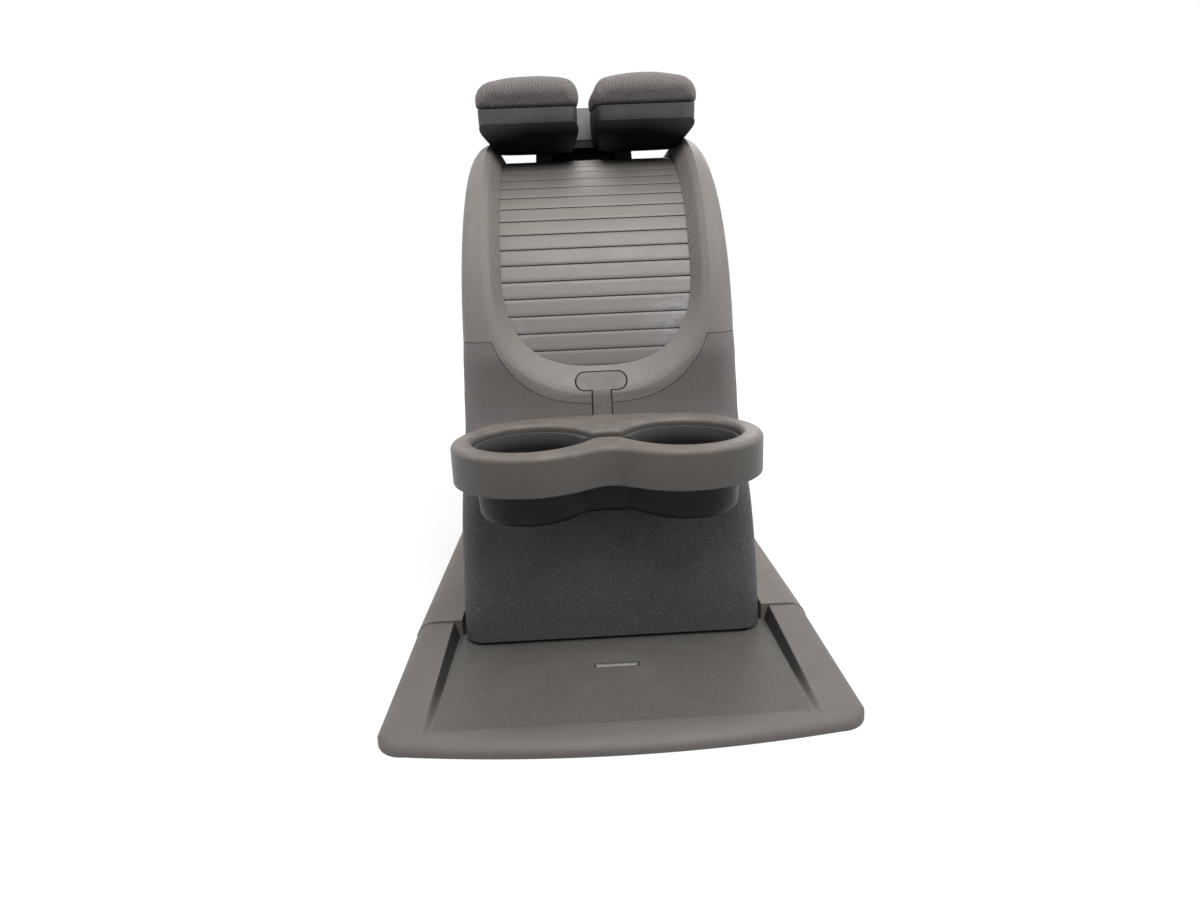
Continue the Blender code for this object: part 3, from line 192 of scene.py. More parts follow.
# Front tray
TRIM_HALF = 0.1715
TRAY_FRONT_Y = -0.254
TRAY_BOW = 0.0145
TRAY_CORNER = 0.022
TRAY_BACK_Y = -0.1
TRAY_TOP_Z = 0.022
TRAY_LIP_Z = 0.0095
TRAY_PANEL_HALF = 0.1355
TRAY_PANEL_Z = 0.0095
TRAY_PANEL_FRONT_Y = -0.234
TRAY_WALL_RUN = 0.0045
TRAY_WALL_SHADE_RUN = 0.06
TRAY_SIDE_SOFT = 0.014
TRAY_FRONT_SOFT = 0.012
TRAY_SHEET = 0.0022
NOTCH_HALF = 0.0165
NOTCH_Y = -0.16
NOTCH_WIDE = 0.0024
NOTCH_DEEP = 0.002

# Armrests
HINGE_Y = SHUTTER_Y + 0.152
HINGE_Z = DECK_Z + 0.062
REST_DEG = 10.0
ARM_LENGTH = 0.252
ARM_REAR = 0.036
ARM_IN = 0.0065
ARM_OUT = 0.104
ARM_SEAM_T = 0.0168
ARM_TOP_T = 0.044
ARM_LOW_T = -0.0232
ARM_BAND_T = 0.005
HULL_SET_IN = 0.0025
HULL_DEPTH = ARM_BAND_T - ARM_LOW_T
HULL_INNER = ((0.0, 0.0), (0.35, 0.0008), (0.7, 0.0022), (0.9, 0.0065), (1.0, 0.013))
HULL_OUTER = ((0.0, 0.0), (0.35, 0.0014), (0.52, 0.0046), (0.68, 0.0128), (0.92, 0.017), (1.0, 0.0228))
HULL_CHIN = 0.038
KNUCKLE_R = 0.0195
KNUCKLE_IN = 0.0635
KNUCKLE_OUT = 0.094
BUSH_R = 0.009
PAD_VOXEL = 0.003
PAD_PRESSURE = 4.0
PAD_FRAMES = 14
PAD_SWELL = 0.0016
PAD_UNEVEN = 0.00055
PAD_START_INSET = 0.0008
SEAM_TUCK = 0.0005

# Studio: lamps as (name, place, watts, size), mostly from above as in the photograph
LAMPS = (
    ("key", (0.2, -1.0, 1.8), 29.0, 1.1),
    ("left", (-1.35, -0.1, 1.25), 8.0, 1.0),
    ("right", (1.35, -0.1, 1.25), 9.5, 1.0),
    ("rear", (0.2, 1.5, 1.3), 12.0, 1.2),
)
WORLD_FILL = 0.2
FLOOR_COLOUR = (0.34, 0.34, 0.34)
FLOOR_GLOW = 0.7
FLOOR_NEAR = 0.45
FLOOR_FAR = 1.1

# Camera, solved from points of the photograph that mirror each other
CAMERA_AT = (-0.0187, -0.64, 0.3085)
CAMERA_YAW = 1.48
CAMERA_PITCH = 14.39
CAMERA_ROLL = -2.42
CAMERA_LENS = 20.43
SENSOR = 36.0


# Mesh helpers

def keep(name, mesh):
    """A new object in the scene."""
    made = bpy.data.objects.new(name, mesh)
    bpy.context.scene.collection.objects.link(made)
    return made


def from_bmesh(name, shape):
    """Turns a bmesh into an object, its faces pointing out."""
    bmesh.ops.recalc_face_normals(shape, faces=shape.faces[:])
    if shape.calc_volume(signed=True) < 0.0:
        bmesh.ops.reverse_faces(shape, faces=shape.faces[:])
    mesh = bpy.data.meshes.new(name)
    shape.to_mesh(mesh)
    shape.free()
    return keep(name, mesh)


def drop(*things):
    """Removes objects that only served as tools."""
    for thing in things:
        bpy.data.objects.remove(thing, do_unlink=True)


def block(name, low, high):
    """A box between two corners, used as a cutting tool."""
    shape = bmesh.new()
    bmesh.ops.create_cube(shape, size=1.0)
    low, high = Vector(low), Vector(high)
    middle = (low + high) / 2
    for vert in shape.verts:
        vert.co = Vector(a * b + c for a, b, c in zip(vert.co, high - low, middle))
    return from_bmesh(name, shape)


def skin(shape, rings):
    """Faces between rings of equally many points, and the rings' new corners."""
    rows = [[shape.verts.new(point) for point in ring] for ring in rings]
    for lower, upper in zip(rows, rows[1:]):
        for corners in zip(lower, lower[1:] + lower[:1], upper[1:] + upper[:1], upper):
            shape.faces.new(corners)
    return rows


def loft(name, rings):
    """A skin over rings of equally many points, with flat ends."""
    shape = bmesh.new()
    rows = skin(shape, rings)
    shape.faces.new(reversed(rows[0]))
    shape.faces.new(rows[-1])
    return from_bmesh(name, shape)


PLANES = {
    "XY": lambda a, b, level: (a, b, level),
    "YZ": lambda a, b, level: (level, a, b),
    "XZ": lambda a, b, level: (a, level, b),
}


def slab(name, outline, low, high, plane):
    """A flat outline in the named plane, given thickness from low to high across it."""
    place = PLANES[plane]
    return loft(name, [[place(a, b, level) for a, b in outline] for level in (low, high)])


def settle(thing):
    """Applies the object's modifiers to its mesh."""
    seen = thing.evaluated_get(bpy.context.evaluated_depsgraph_get())
    mesh = bpy.data.meshes.new_from_object(seen)
    thing.modifiers.clear()
    old = thing.data
    thing.data = mesh
    bpy.data.meshes.remove(old)
    return thing


def combine(thing, other, operation):
    """Boolean of two objects, applied at once."""
    step = thing.modifiers.new(operation.lower(), "BOOLEAN")
    step.operation = operation
    step.solver = "EXACT"
    step.object = other
    return settle(thing)


def cut(thing, *cutters):
    """Takes the cutters out of a piece and removes them."""
    for cutter in cutters:
        combine(thing, cutter, "DIFFERENCE")
    drop(*cutters)
    return thing


def round_edges(thing, width, segments, wanted):
    """Bevels the edges whose two end points pass the test."""
    mesh = thing.data
    layer = mesh.attributes.new("bevel_weight_edge", "FLOAT", "EDGE")
    for edge in mesh.edges:
        ends = [mesh.vertices[index].co for index in edge.vertices]
        layer.data[edge.index].value = wanted(*ends)
    step = thing.modifiers.new("rounded", "BEVEL")
    step.limit_method = "WEIGHT"
    step.width = width
    step.segments = segments
    step.use_clamp_overlap = False
    return settle(thing)


def smooth(thing, degrees):
    """Shades smooth, with edges sharper than the angle kept crisp."""
    thing.data.shade_smooth()
    thing.data.set_sharp_from_angle(angle=math.radians(degrees))


def flow(points, per):
    """A smooth curve through points, with so many steps between each two."""
    points = [Vector(point) for point in points]
    padded = points[:1] + points + points[-1:]
    made = []
    for before, a, b, after in zip(padded, points, points[1:], padded[3:]):
        leave, arrive = (b - before) / 6, (after - a) / 6
        made += interpolate_bezier(a, a + leave, b - arrive, b, per + 1)[:-1]
    made.append(points[-1])
    return [tuple(point) for point in made]


def mirrored(points):
    """Adds the other half of an outline that starts and ends on X = 0."""
    return points + [(-x, y) for x, y in reversed(points) if x > 1e-9]


def turned(across, up, radius, start, end, steps):
    """Points of an arc about a centre, from one angle to another in degrees."""
    made = []
    for step in range(steps + 1):
        turn = math.radians(start + (end - start) * step / steps)
        made.append((across + radius * math.cos(turn), up + radius * math.sin(turn)))
    return made


def quarter(steps):
    """Pairs of 1 - cosine and 1 - sine over a quarter turn."""
    turns = [math.pi / 2 * step / steps for step in range(steps + 1)]
    return [(1.0 - math.cos(turn), 1.0 - math.sin(turn)) for turn in turns]


def stand_for(thing, degrees, body, slot, *nodes):
    """Shades a finished piece and puts it on its body in place of the frame's nodes."""
    smooth(thing, degrees)
    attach(thing, body)
    if nodes:
        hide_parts(*nodes)
    return thing


# Side-view geometry of the tower

def on_circle(radius, degrees):
    """Side-view point (y, z) on a circle about the shutter's centre, 0 facing front, 90 up."""
    angle = math.radians(degrees)
    return (SHUTTER_Y - radius * math.cos(angle), SHUTTER_Z + radius * math.sin(angle))


def arc(radius, start, end, steps):
    """Side-view arc about the shutter's centre."""
    return [on_circle(radius, start + (end - start) * i / steps) for i in range(steps + 1)]


def half_width(z):
    """Half the tower's width at a height."""
    for (low, low_half), (high, high_half) in zip(TOWER_HALF, TOWER_HALF[1:]):
        if z <= high:
            return low_half + (high_half - low_half) * (z - low) / (high - low)
    return TOWER_HALF[-1][1]


def tower_outline(inset):
    """Side view of the tower, moved inwards by the inset, open past the foot when inset."""
    rear_low = TOWER_REAR_TOP_Z - TOWER_REAR_CORNER
    corner_y = TOWER_REAR_Y - TOWER_REAR_CORNER
    front = flow(list(TOWER_FRONT) + [on_circle(RIDGE_R, 0.0)], 4)
    points = front[:-1] + arc(RIDGE_R, 0.0, 93.0, 56)
    points += list(TOWER_TOP)
    points += turned(corner_y, rear_low, TOWER_REAR_CORNER, 84.0, 0.0, 14)
    points.append((TOWER_REAR_Y, FOOT_REAR_Z))
    moved = []
    last = len(points) - 1
    for index, (y, z) in enumerate(points):
        before = points[max(index - 1, 0)]
        after = points[min(index + 1, last)]
        along = Vector((after[0] - before[0], after[1] - before[1])).normalized()
        moved.append((y + along.y * inset, z - along.x * inset))
    if inset > 0.0:
        moved[0] = (moved[0][0] - HOLLOW_RUN, HOLLOW_FOOT_Z)
        moved[-1] = (moved[-1][0], HOLLOW_FOOT_Z)
    return moved


def tower_solid(name, inset, segments):
    """The tower as one solid block, rounded along its sides and tapered upwards."""
    half = TOWER_WIDEST - inset
    made = slab(name, tower_outline(inset), -half, half, "YZ")
    widest = SHOULDER_ROUND - inset

    def share(a, b):
        """How much of the widest rounding an edge takes."""
        on_side = abs(abs(a.x) - half) < 1e-6 and abs(a.x - b.x) < 1e-6
        at_foot = max(a.z, b.z) < FOOT_REAR_Z + 1e-4 and abs(a.y - b.y) > 0.1
        if not on_side or at_foot:
            return 0.0
        middle = (a + b) / 2
        if middle.y > SHUTTER_Y:
            return 1.0
        rise = (middle.z - LOWER_ROUND_TOP_Z) / (SPLIT_Z - LOWER_ROUND_TOP_Z)
        blend = min(max(rise, 0.0), 1.0)
        return (LOWER_ROUND + (SHOULDER_ROUND - LOWER_ROUND) * blend - inset) / widest

    round_edges(made, widest, segments, share)
    shape = bmesh.new()
    shape.from_mesh(made.data)
    for level, _ in TOWER_HALF[1:-1]:
        bmesh.ops.bisect_plane(
            shape,
            geom=shape.verts[:] + shape.edges[:] + shape.faces[:],
            plane_co=(0.0, 0.0, level),
            plane_no=(0.0, 0.0, 1.0),
            dist=1e-6,
        )
    for vert in shape.verts:
        vert.co.x *= (half_width(vert.co.z) - inset) / half
    shape.to_mesh(made.data)
    shape.free()
    return made


def opening_ring(radius, widen, drop_deg, end_deg):
    """One ring of the U opening: its outline at a radius, made wider and lower."""
    slant = max((radius - LIP_R) / (RIDGE_R - LIP_R), 0.0)
    half = OPENING_HALF + OPENING_SLANT * slant + widen
    bottom = OPENING_BOTTOM_DEG + OPENING_SLANT_DEG * slant + drop_deg
    reach = OPENING_START_DEG - bottom
    rows = max(round((end_deg - OPENING_START_DEG) / OPENING_ROW_DEG), 1)
    side = []
    for row in range(rows):
        share = 1.0 - row / rows
        turn = OPENING_START_DEG + (end_deg - OPENING_START_DEG) * share
        side.append((half + OPENING_TOP_EXTRA * share, turn))
    for step in range(OPENING_STEPS + 1):
        angle = math.pi / 2 * step / OPENING_STEPS
        across = max(math.cos(angle), 0.0) ** (2 / OPENING_POWER)
        down = math.sin(angle) ** (2 / OPENING_POWER)
        side.append((half * across, OPENING_START_DEG - reach * down))
    flat = side[:-1] + [(0.0, bottom)] + [(-x, turn) for x, turn in reversed(side[:-1])]
    return [(x, *on_circle(radius, turn)) for x, turn in flat]


def opening_solid(name, levels, end_deg):
    """The U opening as a plug across the shutter circle, from (radius, widen, drop) levels."""
    shape = bmesh.new()
    rows = skin(shape, [opening_ring(*level, end_deg) for level in levels])
    last = len(rows[0]) - 1
    middle = last // 2
    for ring in (rows[0], rows[-1]):
        for left in range(middle - 1):
            right = last - left
            shape.faces.new((ring[left], ring[left + 1], ring[right - 1], ring[right]))
        shape.faces.new(ring[middle - 1:middle + 2])
    return from_bmesh(name, shape)


def bezel_foot(name, gap):
    """Plug over the part of the bezel that dips below the split line, grown by a gap."""
    fall = SPLIT_MARGIN_DEG - math.degrees(gap / RIDGE_R)
    ring = opening_ring(RIDGE_R, SPLIT_MARGIN + gap, fall, OPENING_START_DEG + 1.0)
    low = [(x, z) for x, _, z in ring if z < SPLIT_Z]
    top = SPLIT_Z + 0.01
    outline = [(low[0][0] + 0.0005, top)] + low + [(low[-1][0] - 0.0005, top)]
    return slab(name, outline, -0.2, 0.0, "XZ")


def tongue_face(z):
    """Depth (y) of the tower's middle front face at a height, bezel slant included."""
    top_y, top_z = on_circle(LIP_R, OPENING_BOTTOM_DEG)
    bend_y, bend_z = TONGUE_BEND
    if z > bend_z:
        return bend_y + (top_y - bend_y) * (z - bend_z) / (top_z - bend_z)
    return RING_BACK_Y + (bend_y - RING_BACK_Y) * (z - RING_TOP_Z) / (bend_z - RING_TOP_Z)


def tongue_solid(name, grow, front, back, low_z, soft):
    """The T tongue, between two depths measured from the face of the tower."""
    bar_low = TONGUE_BAR_Z - TONGUE_BAR_HALF - grow
    levels = [(low_z, TONGUE_STEM + grow), (RING_TOP_Z + 0.004, TONGUE_STEM + grow)]
    levels += [(bar_low - 0.006, TONGUE_STEM + grow), (bar_low - 0.0001, TONGUE_STEM + grow)]
    end = turned(TONGUE_BAR, TONGUE_BAR_Z, TONGUE_BAR_HALF + grow, -90.0, 90.0, 20)
    levels += [(z, half) for half, z in end]
    rings = []
    for z, half in levels:
        face = tongue_face(z)
        lift = 0.0022 if z <= RING_TOP_Z + 0.001 else 0.0
        near, far = face + front - lift, face + back
        rings.append([
            (-half, near + soft, z), (-half + soft, near, z), (half - soft, near, z),
            (half, near + soft, z), (half, far, z), (-half, far, z),
        ])
    return loft(name, rings)


# The pieces

def build_shells():
    """Upper and lower shell, cut from one tower, with a soft ridge round the opening."""
    outer = tower_solid("upper_shell_moulding", 0.0, ROUND_SEGMENTS)
    inner = tower_solid("tower_hollow", WALL, 4)
    past_ridge = RIDGE_R + BEZEL_REACH
    bezel = opening_solid(
        "bezel_body",
        [(radius, BEZEL_WIDEN, BEZEL_DROP_DEG) for radius in (LIP_R, RIDGE_R, past_ridge)],
        BEZEL_END_DEG,
    )
    lip_y = on_circle(LIP_R, OPENING_END_DEG)[0]
    deck = block(
        "deck_body",
        (-DECK_HALF, lip_y, DECK_Z - WALL),
        (DECK_HALF, TOWER_REAR_Y, DECK_Z + DECK_RISE),
    )
    cut(inner, bezel, deck)
    levels = [(LIP_R - 0.019, 0.0, 0.0), (LIP_R, 0.0, 0.0)]
    flare_steps = 8
    for step in range(flare_steps + 2):
        into = step / flare_steps
        widen = RIDGE_FLARE * into ** 2.2
        levels.append((
            RIDGE_R - RIDGE_SOFT + RIDGE_SOFT * into, widen, -math.degrees(widen / RIDGE_R),
        ))
    levels.append((past_ridge, RIDGE_FLARE * 2.4, -math.degrees(RIDGE_FLARE * 2.4 / RIDGE_R)))
    opening = opening_solid("opening", levels, OPENING_END_DEG)
    top = OPENING_HALF + OPENING_TOP_EXTRA
    slope = OPENING_SLANT / (RIDGE_R - LIP_R)
    low_half = top + (DECK_Z - SHUTTER_Z - LIP_R) * slope
    high_half = low_half + DECK_RISE * slope
    high = DECK_Z + DECK_RISE
    channel = loft("deck_channel", [
        [(-low_half, y, DECK_Z), (low_half, y, DECK_Z), (high_half, y, high), (-high_half, y, high)]
        for y in (lip_y - 0.006, TOWER_REAR_Y + 0.02)
    ])
    slot = tongue_solid("tongue_slot", TONGUE_GAP, -0.02, 0.016, RING_TOP_Z - 0.006, 0.0001)
    doorway = block(
        "doorway",
        (-PANEL_HALF, TOWER_REAR_Y - 0.02, PANEL_LOW_Z),
        (PANEL_HALF, TOWER_REAR_Y + 0.02, PANEL_HIGH_Z),
    )
    cut(outer, inner, opening, channel, slot, doorway)
    lower = keep("lower_shell_moulding", outer.data.copy())
    wide = TOWER_WIDEST + 0.05
    below = block("below_split", (-wide, -0.3, -0.05), (wide, 0.5, SPLIT_Z))
    cut(below, bezel_foot("bezel_foot", 0.0))
    cut(outer, below)
    above = block("above_split", (-wide, -0.3, SPLIT_Z - SEAM), (wide, 0.5, 0.6))
    cut(lower, above, bezel_foot("bezel_foot_grown", SEAM))
    stand_for(outer, 32.0, "console", "shell_brown", "upper_shell")
    stand_for(lower, 32.0, "console", "shell_dark", "lower_shell")
    return outer, lower


def build_shutter():
    """The slatted curtain: flat slats with eased edges between deep narrow grooves."""
    pitch = math.degrees(SLAT_PITCH / SHUTTER_R)
    groove = math.degrees(SLAT_GROOVE / SHUTTER_R) / 2
    ease = groove * 0.8
    floor_r = SHUTTER_R - SLAT_GROOVE_DEEP
    outline = []
    start = SHUTTER_LOW_DEG
    end = start + pitch * SLAT_FIRST
    while start < SHUTTER_HIGH_DEG - pitch * 0.3:
        outline.append(on_circle(SHUTTER_R - SLAT_EASE, start + groove))
        outline += arc(SHUTTER_R, start + groove + ease, end - groove - ease, 5)
        outline.append(on_circle(SHUTTER_R - SLAT_EASE, end - groove))
        if end < SHUTTER_HIGH_DEG - 1e-6:
            outline.append(on_circle(floor_r, end - groove * 0.7))
            outline.append(on_circle(floor_r, end + groove * 0.7))
        start = end
        end = min(start + pitch, SHUTTER_HIGH_DEG)
    outline += arc(SHUTTER_R - SHUTTER_THICK, SHUTTER_HIGH_DEG, SHUTTER_LOW_DEG, 60)
    curtain = slab("shutter_slats", outline, -SHUTTER_HALF, SHUTTER_HALF, "YZ")
    stand_for(curtain, 30.0, "curtain", "shutter_taupe", "shutter")
    return curtain, build_arrow()


def build_arrow():
    """Small raised chevron near the curtain's top edge, pointing down."""
    slope, notch = ARROW_BAR * 1.25, ARROW_BAR * 2.2
    outline = [
        (-ARROW_HALF, ARROW_TALL / 2),
        (0.0, -ARROW_TALL / 2),
        (ARROW_HALF, ARROW_TALL / 2),
        (ARROW_HALF - slope, ARROW_TALL / 2),
        (0.0, -ARROW_TALL / 2 + notch),
        (-ARROW_HALF + slope, ARROW_TALL / 2),
    ]
    shape = bmesh.new()
    for ring in skin(shape, [
        [(x, *on_circle(radius, ARROW_DEG + math.degrees(rise / SHUTTER_R))) for x, rise in outline]
        for radius in (SHUTTER_R - ARROW_RAISED, SHUTTER_R + ARROW_RAISED)
    ]):
        shape.faces.new((ring[0], ring[1], ring[4], ring[5]))
        shape.faces.new(ring[1:5])
    arrow = from_bmesh("shutter_arrow", shape)
    stand_for(arrow, 30.0, "curtain", "shutter_taupe")
    return arrow


def ring_outline(grow):
    """Plan of the cup ring: two lobes, a front waist and a flat back on the tower."""
    back = RING_BACK_Y - GAP + grow
    radius = RING_R + grow
    lobe = turned(CUP_X, CUP_Y, radius, RING_BACK_END_DEG, -90.0, LOBE_STEPS)
    rear = [(0.0, back)] + [(x + grow, back - fall) for x, fall in RING_BACK] + [lobe[0]]
    return mirrored(flow(rear, 4) + lobe[1:] + waist(radius, RING_WAIST + grow, -1.0)[1:])


def waist(radius, narrow, side):
    """Points from a lobe's far point to the middle, blending the lobe into a waist."""
    points = []
    steps = 26
    for step in range(steps + 1):
        x = CUP_X * (1.0 - step / steps)
        rounded = math.sqrt(x ** 2 + (WAIST_SOFT * step / steps) ** 2)
        lobe = math.sqrt(max(radius ** 2 - (rounded - CUP_X) ** 2, 0.0))
        points.append((x, CUP_Y + side * (lobe ** 4 + narrow ** 4) ** 0.25))
    return points


def lobes(radius, narrow):
    """Plan of the two joined wells, moved back a little where they meet."""
    points = waist(radius, narrow, 1.0)[::-1]
    points += turned(CUP_X, CUP_Y, radius, 90.0, -90.0, LOBE_STEPS)[1:-1]
    points += waist(radius, narrow, -1.0)
    return mirrored([(x, y + SADDLE_SHIFT * max(1.0 - abs(x) / CUP_X, 0.0)) for x, y in points])


def build_cup_holder():
    """Ring with its T tongue, and the dark insert with two wells."""
    ring = slab("cup_ring_moulding", ring_outline(0.0), RING_LOW_Z, RING_TOP_Z, "XY")

    def rims(a, b):
        """Full rounding along the top edge and a light one along the bottom edge."""
        if min(a.z, b.z) > RING_TOP_Z - 1e-6:
            return 1.0
        return 0.2 if max(a.z, b.z) < RING_LOW_Z + 1e-6 else 0.0

    round_edges(ring, RING_EDGE, 7, rims)
    under = slab(
        "ring_under", ring_outline(-RING_WALL), RING_LOW_Z - 0.01, RING_TOP_Z - RING_PLATE, "XY"
    )
    flare = [(RING_LOW_Z, 0.0)]
    flare += [(RING_TOP_Z - RIM_SOFT * down, RIM_SOFT * out) for out, down in quarter(8)]
    flare.append((RING_TOP_Z + 0.003, RIM_SOFT + 0.006))
    mouth = loft("ring_mouth", [
        [(x, y, z) for x, y in lobes(RIM_R + grow, RIM_WAIST + grow)] for z, grow in flare
    ])
    cut(ring, under, mouth, tower_solid("tower_grown", -GAP, 4))
    tongue = tongue_solid(
        "tongue", 0.0, -0.0005, TONGUE_THICK - 0.0005, RING_TOP_Z - RING_PLATE + 0.001, TONGUE_SOFT
    )
    combine(ring, tongue, "UNION")
    drop(tongue)
    stand_for(ring, 32.0, "console", "shell_brown", "cup_ring")

    flange_z = RING_TOP_Z - RING_PLATE - GAP
    levels = [
        (flange_z, FLANGE_R, FLANGE_WAIST),
        (flange_z - 0.0025, FLANGE_R, FLANGE_WAIST),
        (flange_z - 0.0026, INSERT_TOP_R, INSERT_WAIST),
        (CUP_LOW_Z + INSERT_FOOT * 2.0, INSERT_LOW_R + 0.0004, INSERT_WAIST - 0.001),
    ]
    for into, up in quarter(7):
        inset = INSERT_FOOT * into
        levels.append((
            CUP_LOW_Z + INSERT_FOOT * up, INSERT_LOW_R - inset, INSERT_WAIST - 0.0012 - inset,
        ))
    insert = loft("cup_insert_moulding", [
        [(x, y, z) for x, y in lobes(radius, narrow)] for z, radius, narrow in levels
    ])
    for side in (-1, 1):
        cut(insert, build_well(side * CUP_X))
    cut(insert, block(
        "saddle",
        (-CUP_X / 2, CUP_Y - SADDLE_FRONT, SADDLE_Z),
        (CUP_X / 2, CUP_Y + SADDLE_BACK, RING_TOP_Z),
    ))
    stand_for(insert, 32.0, "console", "shell_dark", "cup_insert")
    return ring, insert


def build_well(where):
    """A tapered well with a rounded corner at its floor."""
    levels = [
        (WELL_FLOOR_Z + WELL_CORNER * up, WELL_LOW_R - WELL_CORNER * into) for up, into in quarter(6)
    ]
    levels.append((RING_TOP_Z, WELL_TOP_R))
    return loft("well", [
        [(x, y, z) for x, y in turned(where, CUP_Y, radius, 0.0, 360.0, 96)[:-1]]
        for z, radius in levels
    ])


def ease(value):
    """Smooth step from 0 to 1."""
    value = min(max(value, 0.0), 1.0)
    return value * value * (3.0 - 2.0 * value)


def tray_front(x):
    """Front edge (y) of the tray at a distance from the middle, corners rounded."""
    straight = TRIM_HALF - TRAY_CORNER
    across = abs(x)
    if across <= straight:
        return TRAY_FRONT_Y + TRAY_BOW * (across / TRIM_HALF) ** 2
    centre = TRAY_FRONT_Y + TRAY_BOW * (straight / TRIM_HALF) ** 2 + TRAY_CORNER
    return centre - math.sqrt(max(TRAY_CORNER ** 2 - (across - straight) ** 2, 0.0))


def tray_height(x, y):
    """Height of the tray's top surface: wings, recess with eased walls, rounded outer edges."""
    back = (TRAY_BACK_Y - y) / (TRAY_BACK_Y - TRAY_FRONT_Y)
    wing = TRAY_TOP_Z - (TRAY_TOP_Z - TRAY_LIP_Z) * min(max(back, 0.0), 1.0)
    wall = ease((abs(x) - TRAY_PANEL_HALF + TRAY_WALL_RUN / 2) / TRAY_WALL_RUN)
    front_fade = ease((TRAY_PANEL_FRONT_Y + 0.006 - y) / 0.012)
    base = TRAY_PANEL_Z + (wing - TRAY_PANEL_Z) * max(wall, front_fade)
    if abs(x) < NOTCH_HALF + 0.002 and abs(y - NOTCH_Y) < 0.006:
        deep = ease((NOTCH_HALF - abs(x)) / 0.0015) * ease((NOTCH_WIDE - abs(y - NOTCH_Y)) / 0.0012)
        base -= NOTCH_DEEP * deep
    side = min((TRIM_HALF - abs(x)) / TRAY_SIDE_SOFT, 1.0)
    front = min((y - tray_front(x)) / TRAY_FRONT_SOFT, 1.0)
    side_round = math.sqrt(max(1.0 - (1.0 - side) ** 2, 0.0))
    front_round = math.sqrt(max(1.0 - (1.0 - front) ** 2, 0.0))
    return TRAY_SHEET + (base - TRAY_SHEET) * min(side_round, front_round)


def spaced(low, high, count, crowd):
    """Values from low to high that crowd towards both ends."""
    made = []
    for index in range(count + 1):
        t = index / count
        bent = 0.5 - 0.5 * math.cos(math.pi * t)
        made.append(low + (high - low) * (t * (1.0 - crowd) + bent * crowd))
    return made


def build_tray():
    """Front tray as one moulded sheet, with its panel marked for the grain."""
    columns = spaced(-TRIM_HALF, TRIM_HALF, 300, 0.85)
    rows = spaced(0.0, 1.0, 170, 0.6)
    shape = bmesh.new()
    grid = []
    for x in columns:
        front = tray_front(x)
        line = [front + (TRAY_BACK_Y - front) * row for row in rows]
        grid.append([shape.verts.new((x, y, tray_height(x, y))) for y in line])
    for left, right in zip(grid, grid[1:]):
        for corners in zip(left, right, right[1:], left[1:]):
            shape.faces.new(corners)
    rim = grid[0][:0:-1] + [line[0] for line in grid] + grid[-1][1:]
    skirt = [shape.verts.new((vert.co.x, vert.co.y, 0.0)) for vert in rim]
    for corners in zip(rim[1:], rim, skirt, skirt[1:]):
        shape.faces.new(corners)
    tray = from_bmesh("floor_tray_moulding", shape)
    sheet = tray.modifiers.new("sheet", "SOLIDIFY")
    sheet.thickness = TRAY_SHEET
    sheet.offset = -1.0
    settle(tray)
    for vert in tray.data.vertices:
        vert.co.z = max(vert.co.z, 0.0)
    panel = tray.data.attributes.new("panel", "FLOAT", "POINT")
    # The wall mark places painted shade on the recess walls, growing towards the back.
    wall = tray.data.attributes.new("wall", "FLOAT", "POINT")
    for vert in tray.data.vertices:
        inside = ease((TRAY_PANEL_HALF - 0.002 - abs(vert.co.x)) / 0.002)
        panel.data[vert.index].value = inside * ease((vert.co.y - TRAY_PANEL_FRONT_Y) / 0.004)
        from_wall = abs(abs(vert.co.x) - TRAY_PANEL_HALF) / TRAY_WALL_RUN
        depth = (vert.co.y - TRAY_PANEL_FRONT_Y) / TRAY_WALL_SHADE_RUN
        wall.data[vert.index].value = ease((0.62 - from_wall) / 0.16) * ease(depth)
    stand_for(tray, 40.0, "base", "trim_brown", "floor_tray")
    return tray


def arm_point(x, s, t):
    """Point of an armrest: s along it from the hinge (negative forwards), t above it."""
    turn = math.radians(REST_DEG)
    y = HINGE_Y + s * math.cos(turn) - t * math.sin(turn)
    z = HINGE_Z + s * math.sin(turn) + t * math.cos(turn)
    return Vector((x, y, z))


def arm_place(point):
    """Inverse of arm_point: (s, t) of a point."""
    turn = math.radians(REST_DEG)
    y, z = point.y - HINGE_Y, point.z - HINGE_Z
    return y * math.cos(turn) + z * math.sin(turn), z * math.cos(turn) - y * math.sin(turn)


def hull_section(side, s, low_t, narrow):
    """Cross-section of a hull: vertical band, near-upright walls and a rounded outer shoulder."""
    depth = ARM_BAND_T - low_t
    share = min(depth / HULL_DEPTH, 1.0)
    top_in = ARM_IN + HULL_SET_IN + narrow
    top_out = ARM_OUT - HULL_SET_IN - narrow
    seam_t = ARM_SEAM_T - GAP
    across = [(top_in, seam_t)]
    across += [(top_in + inset * share, ARM_BAND_T - depth * fall) for fall, inset in HULL_INNER]
    across += [
        (top_out - inset * share, ARM_BAND_T - depth * fall) for fall, inset in reversed(HULL_OUTER)
    ]
    across.append((top_out, seam_t))
    return [arm_point(side * x, s, t) for x, t in flow(across, 5)]


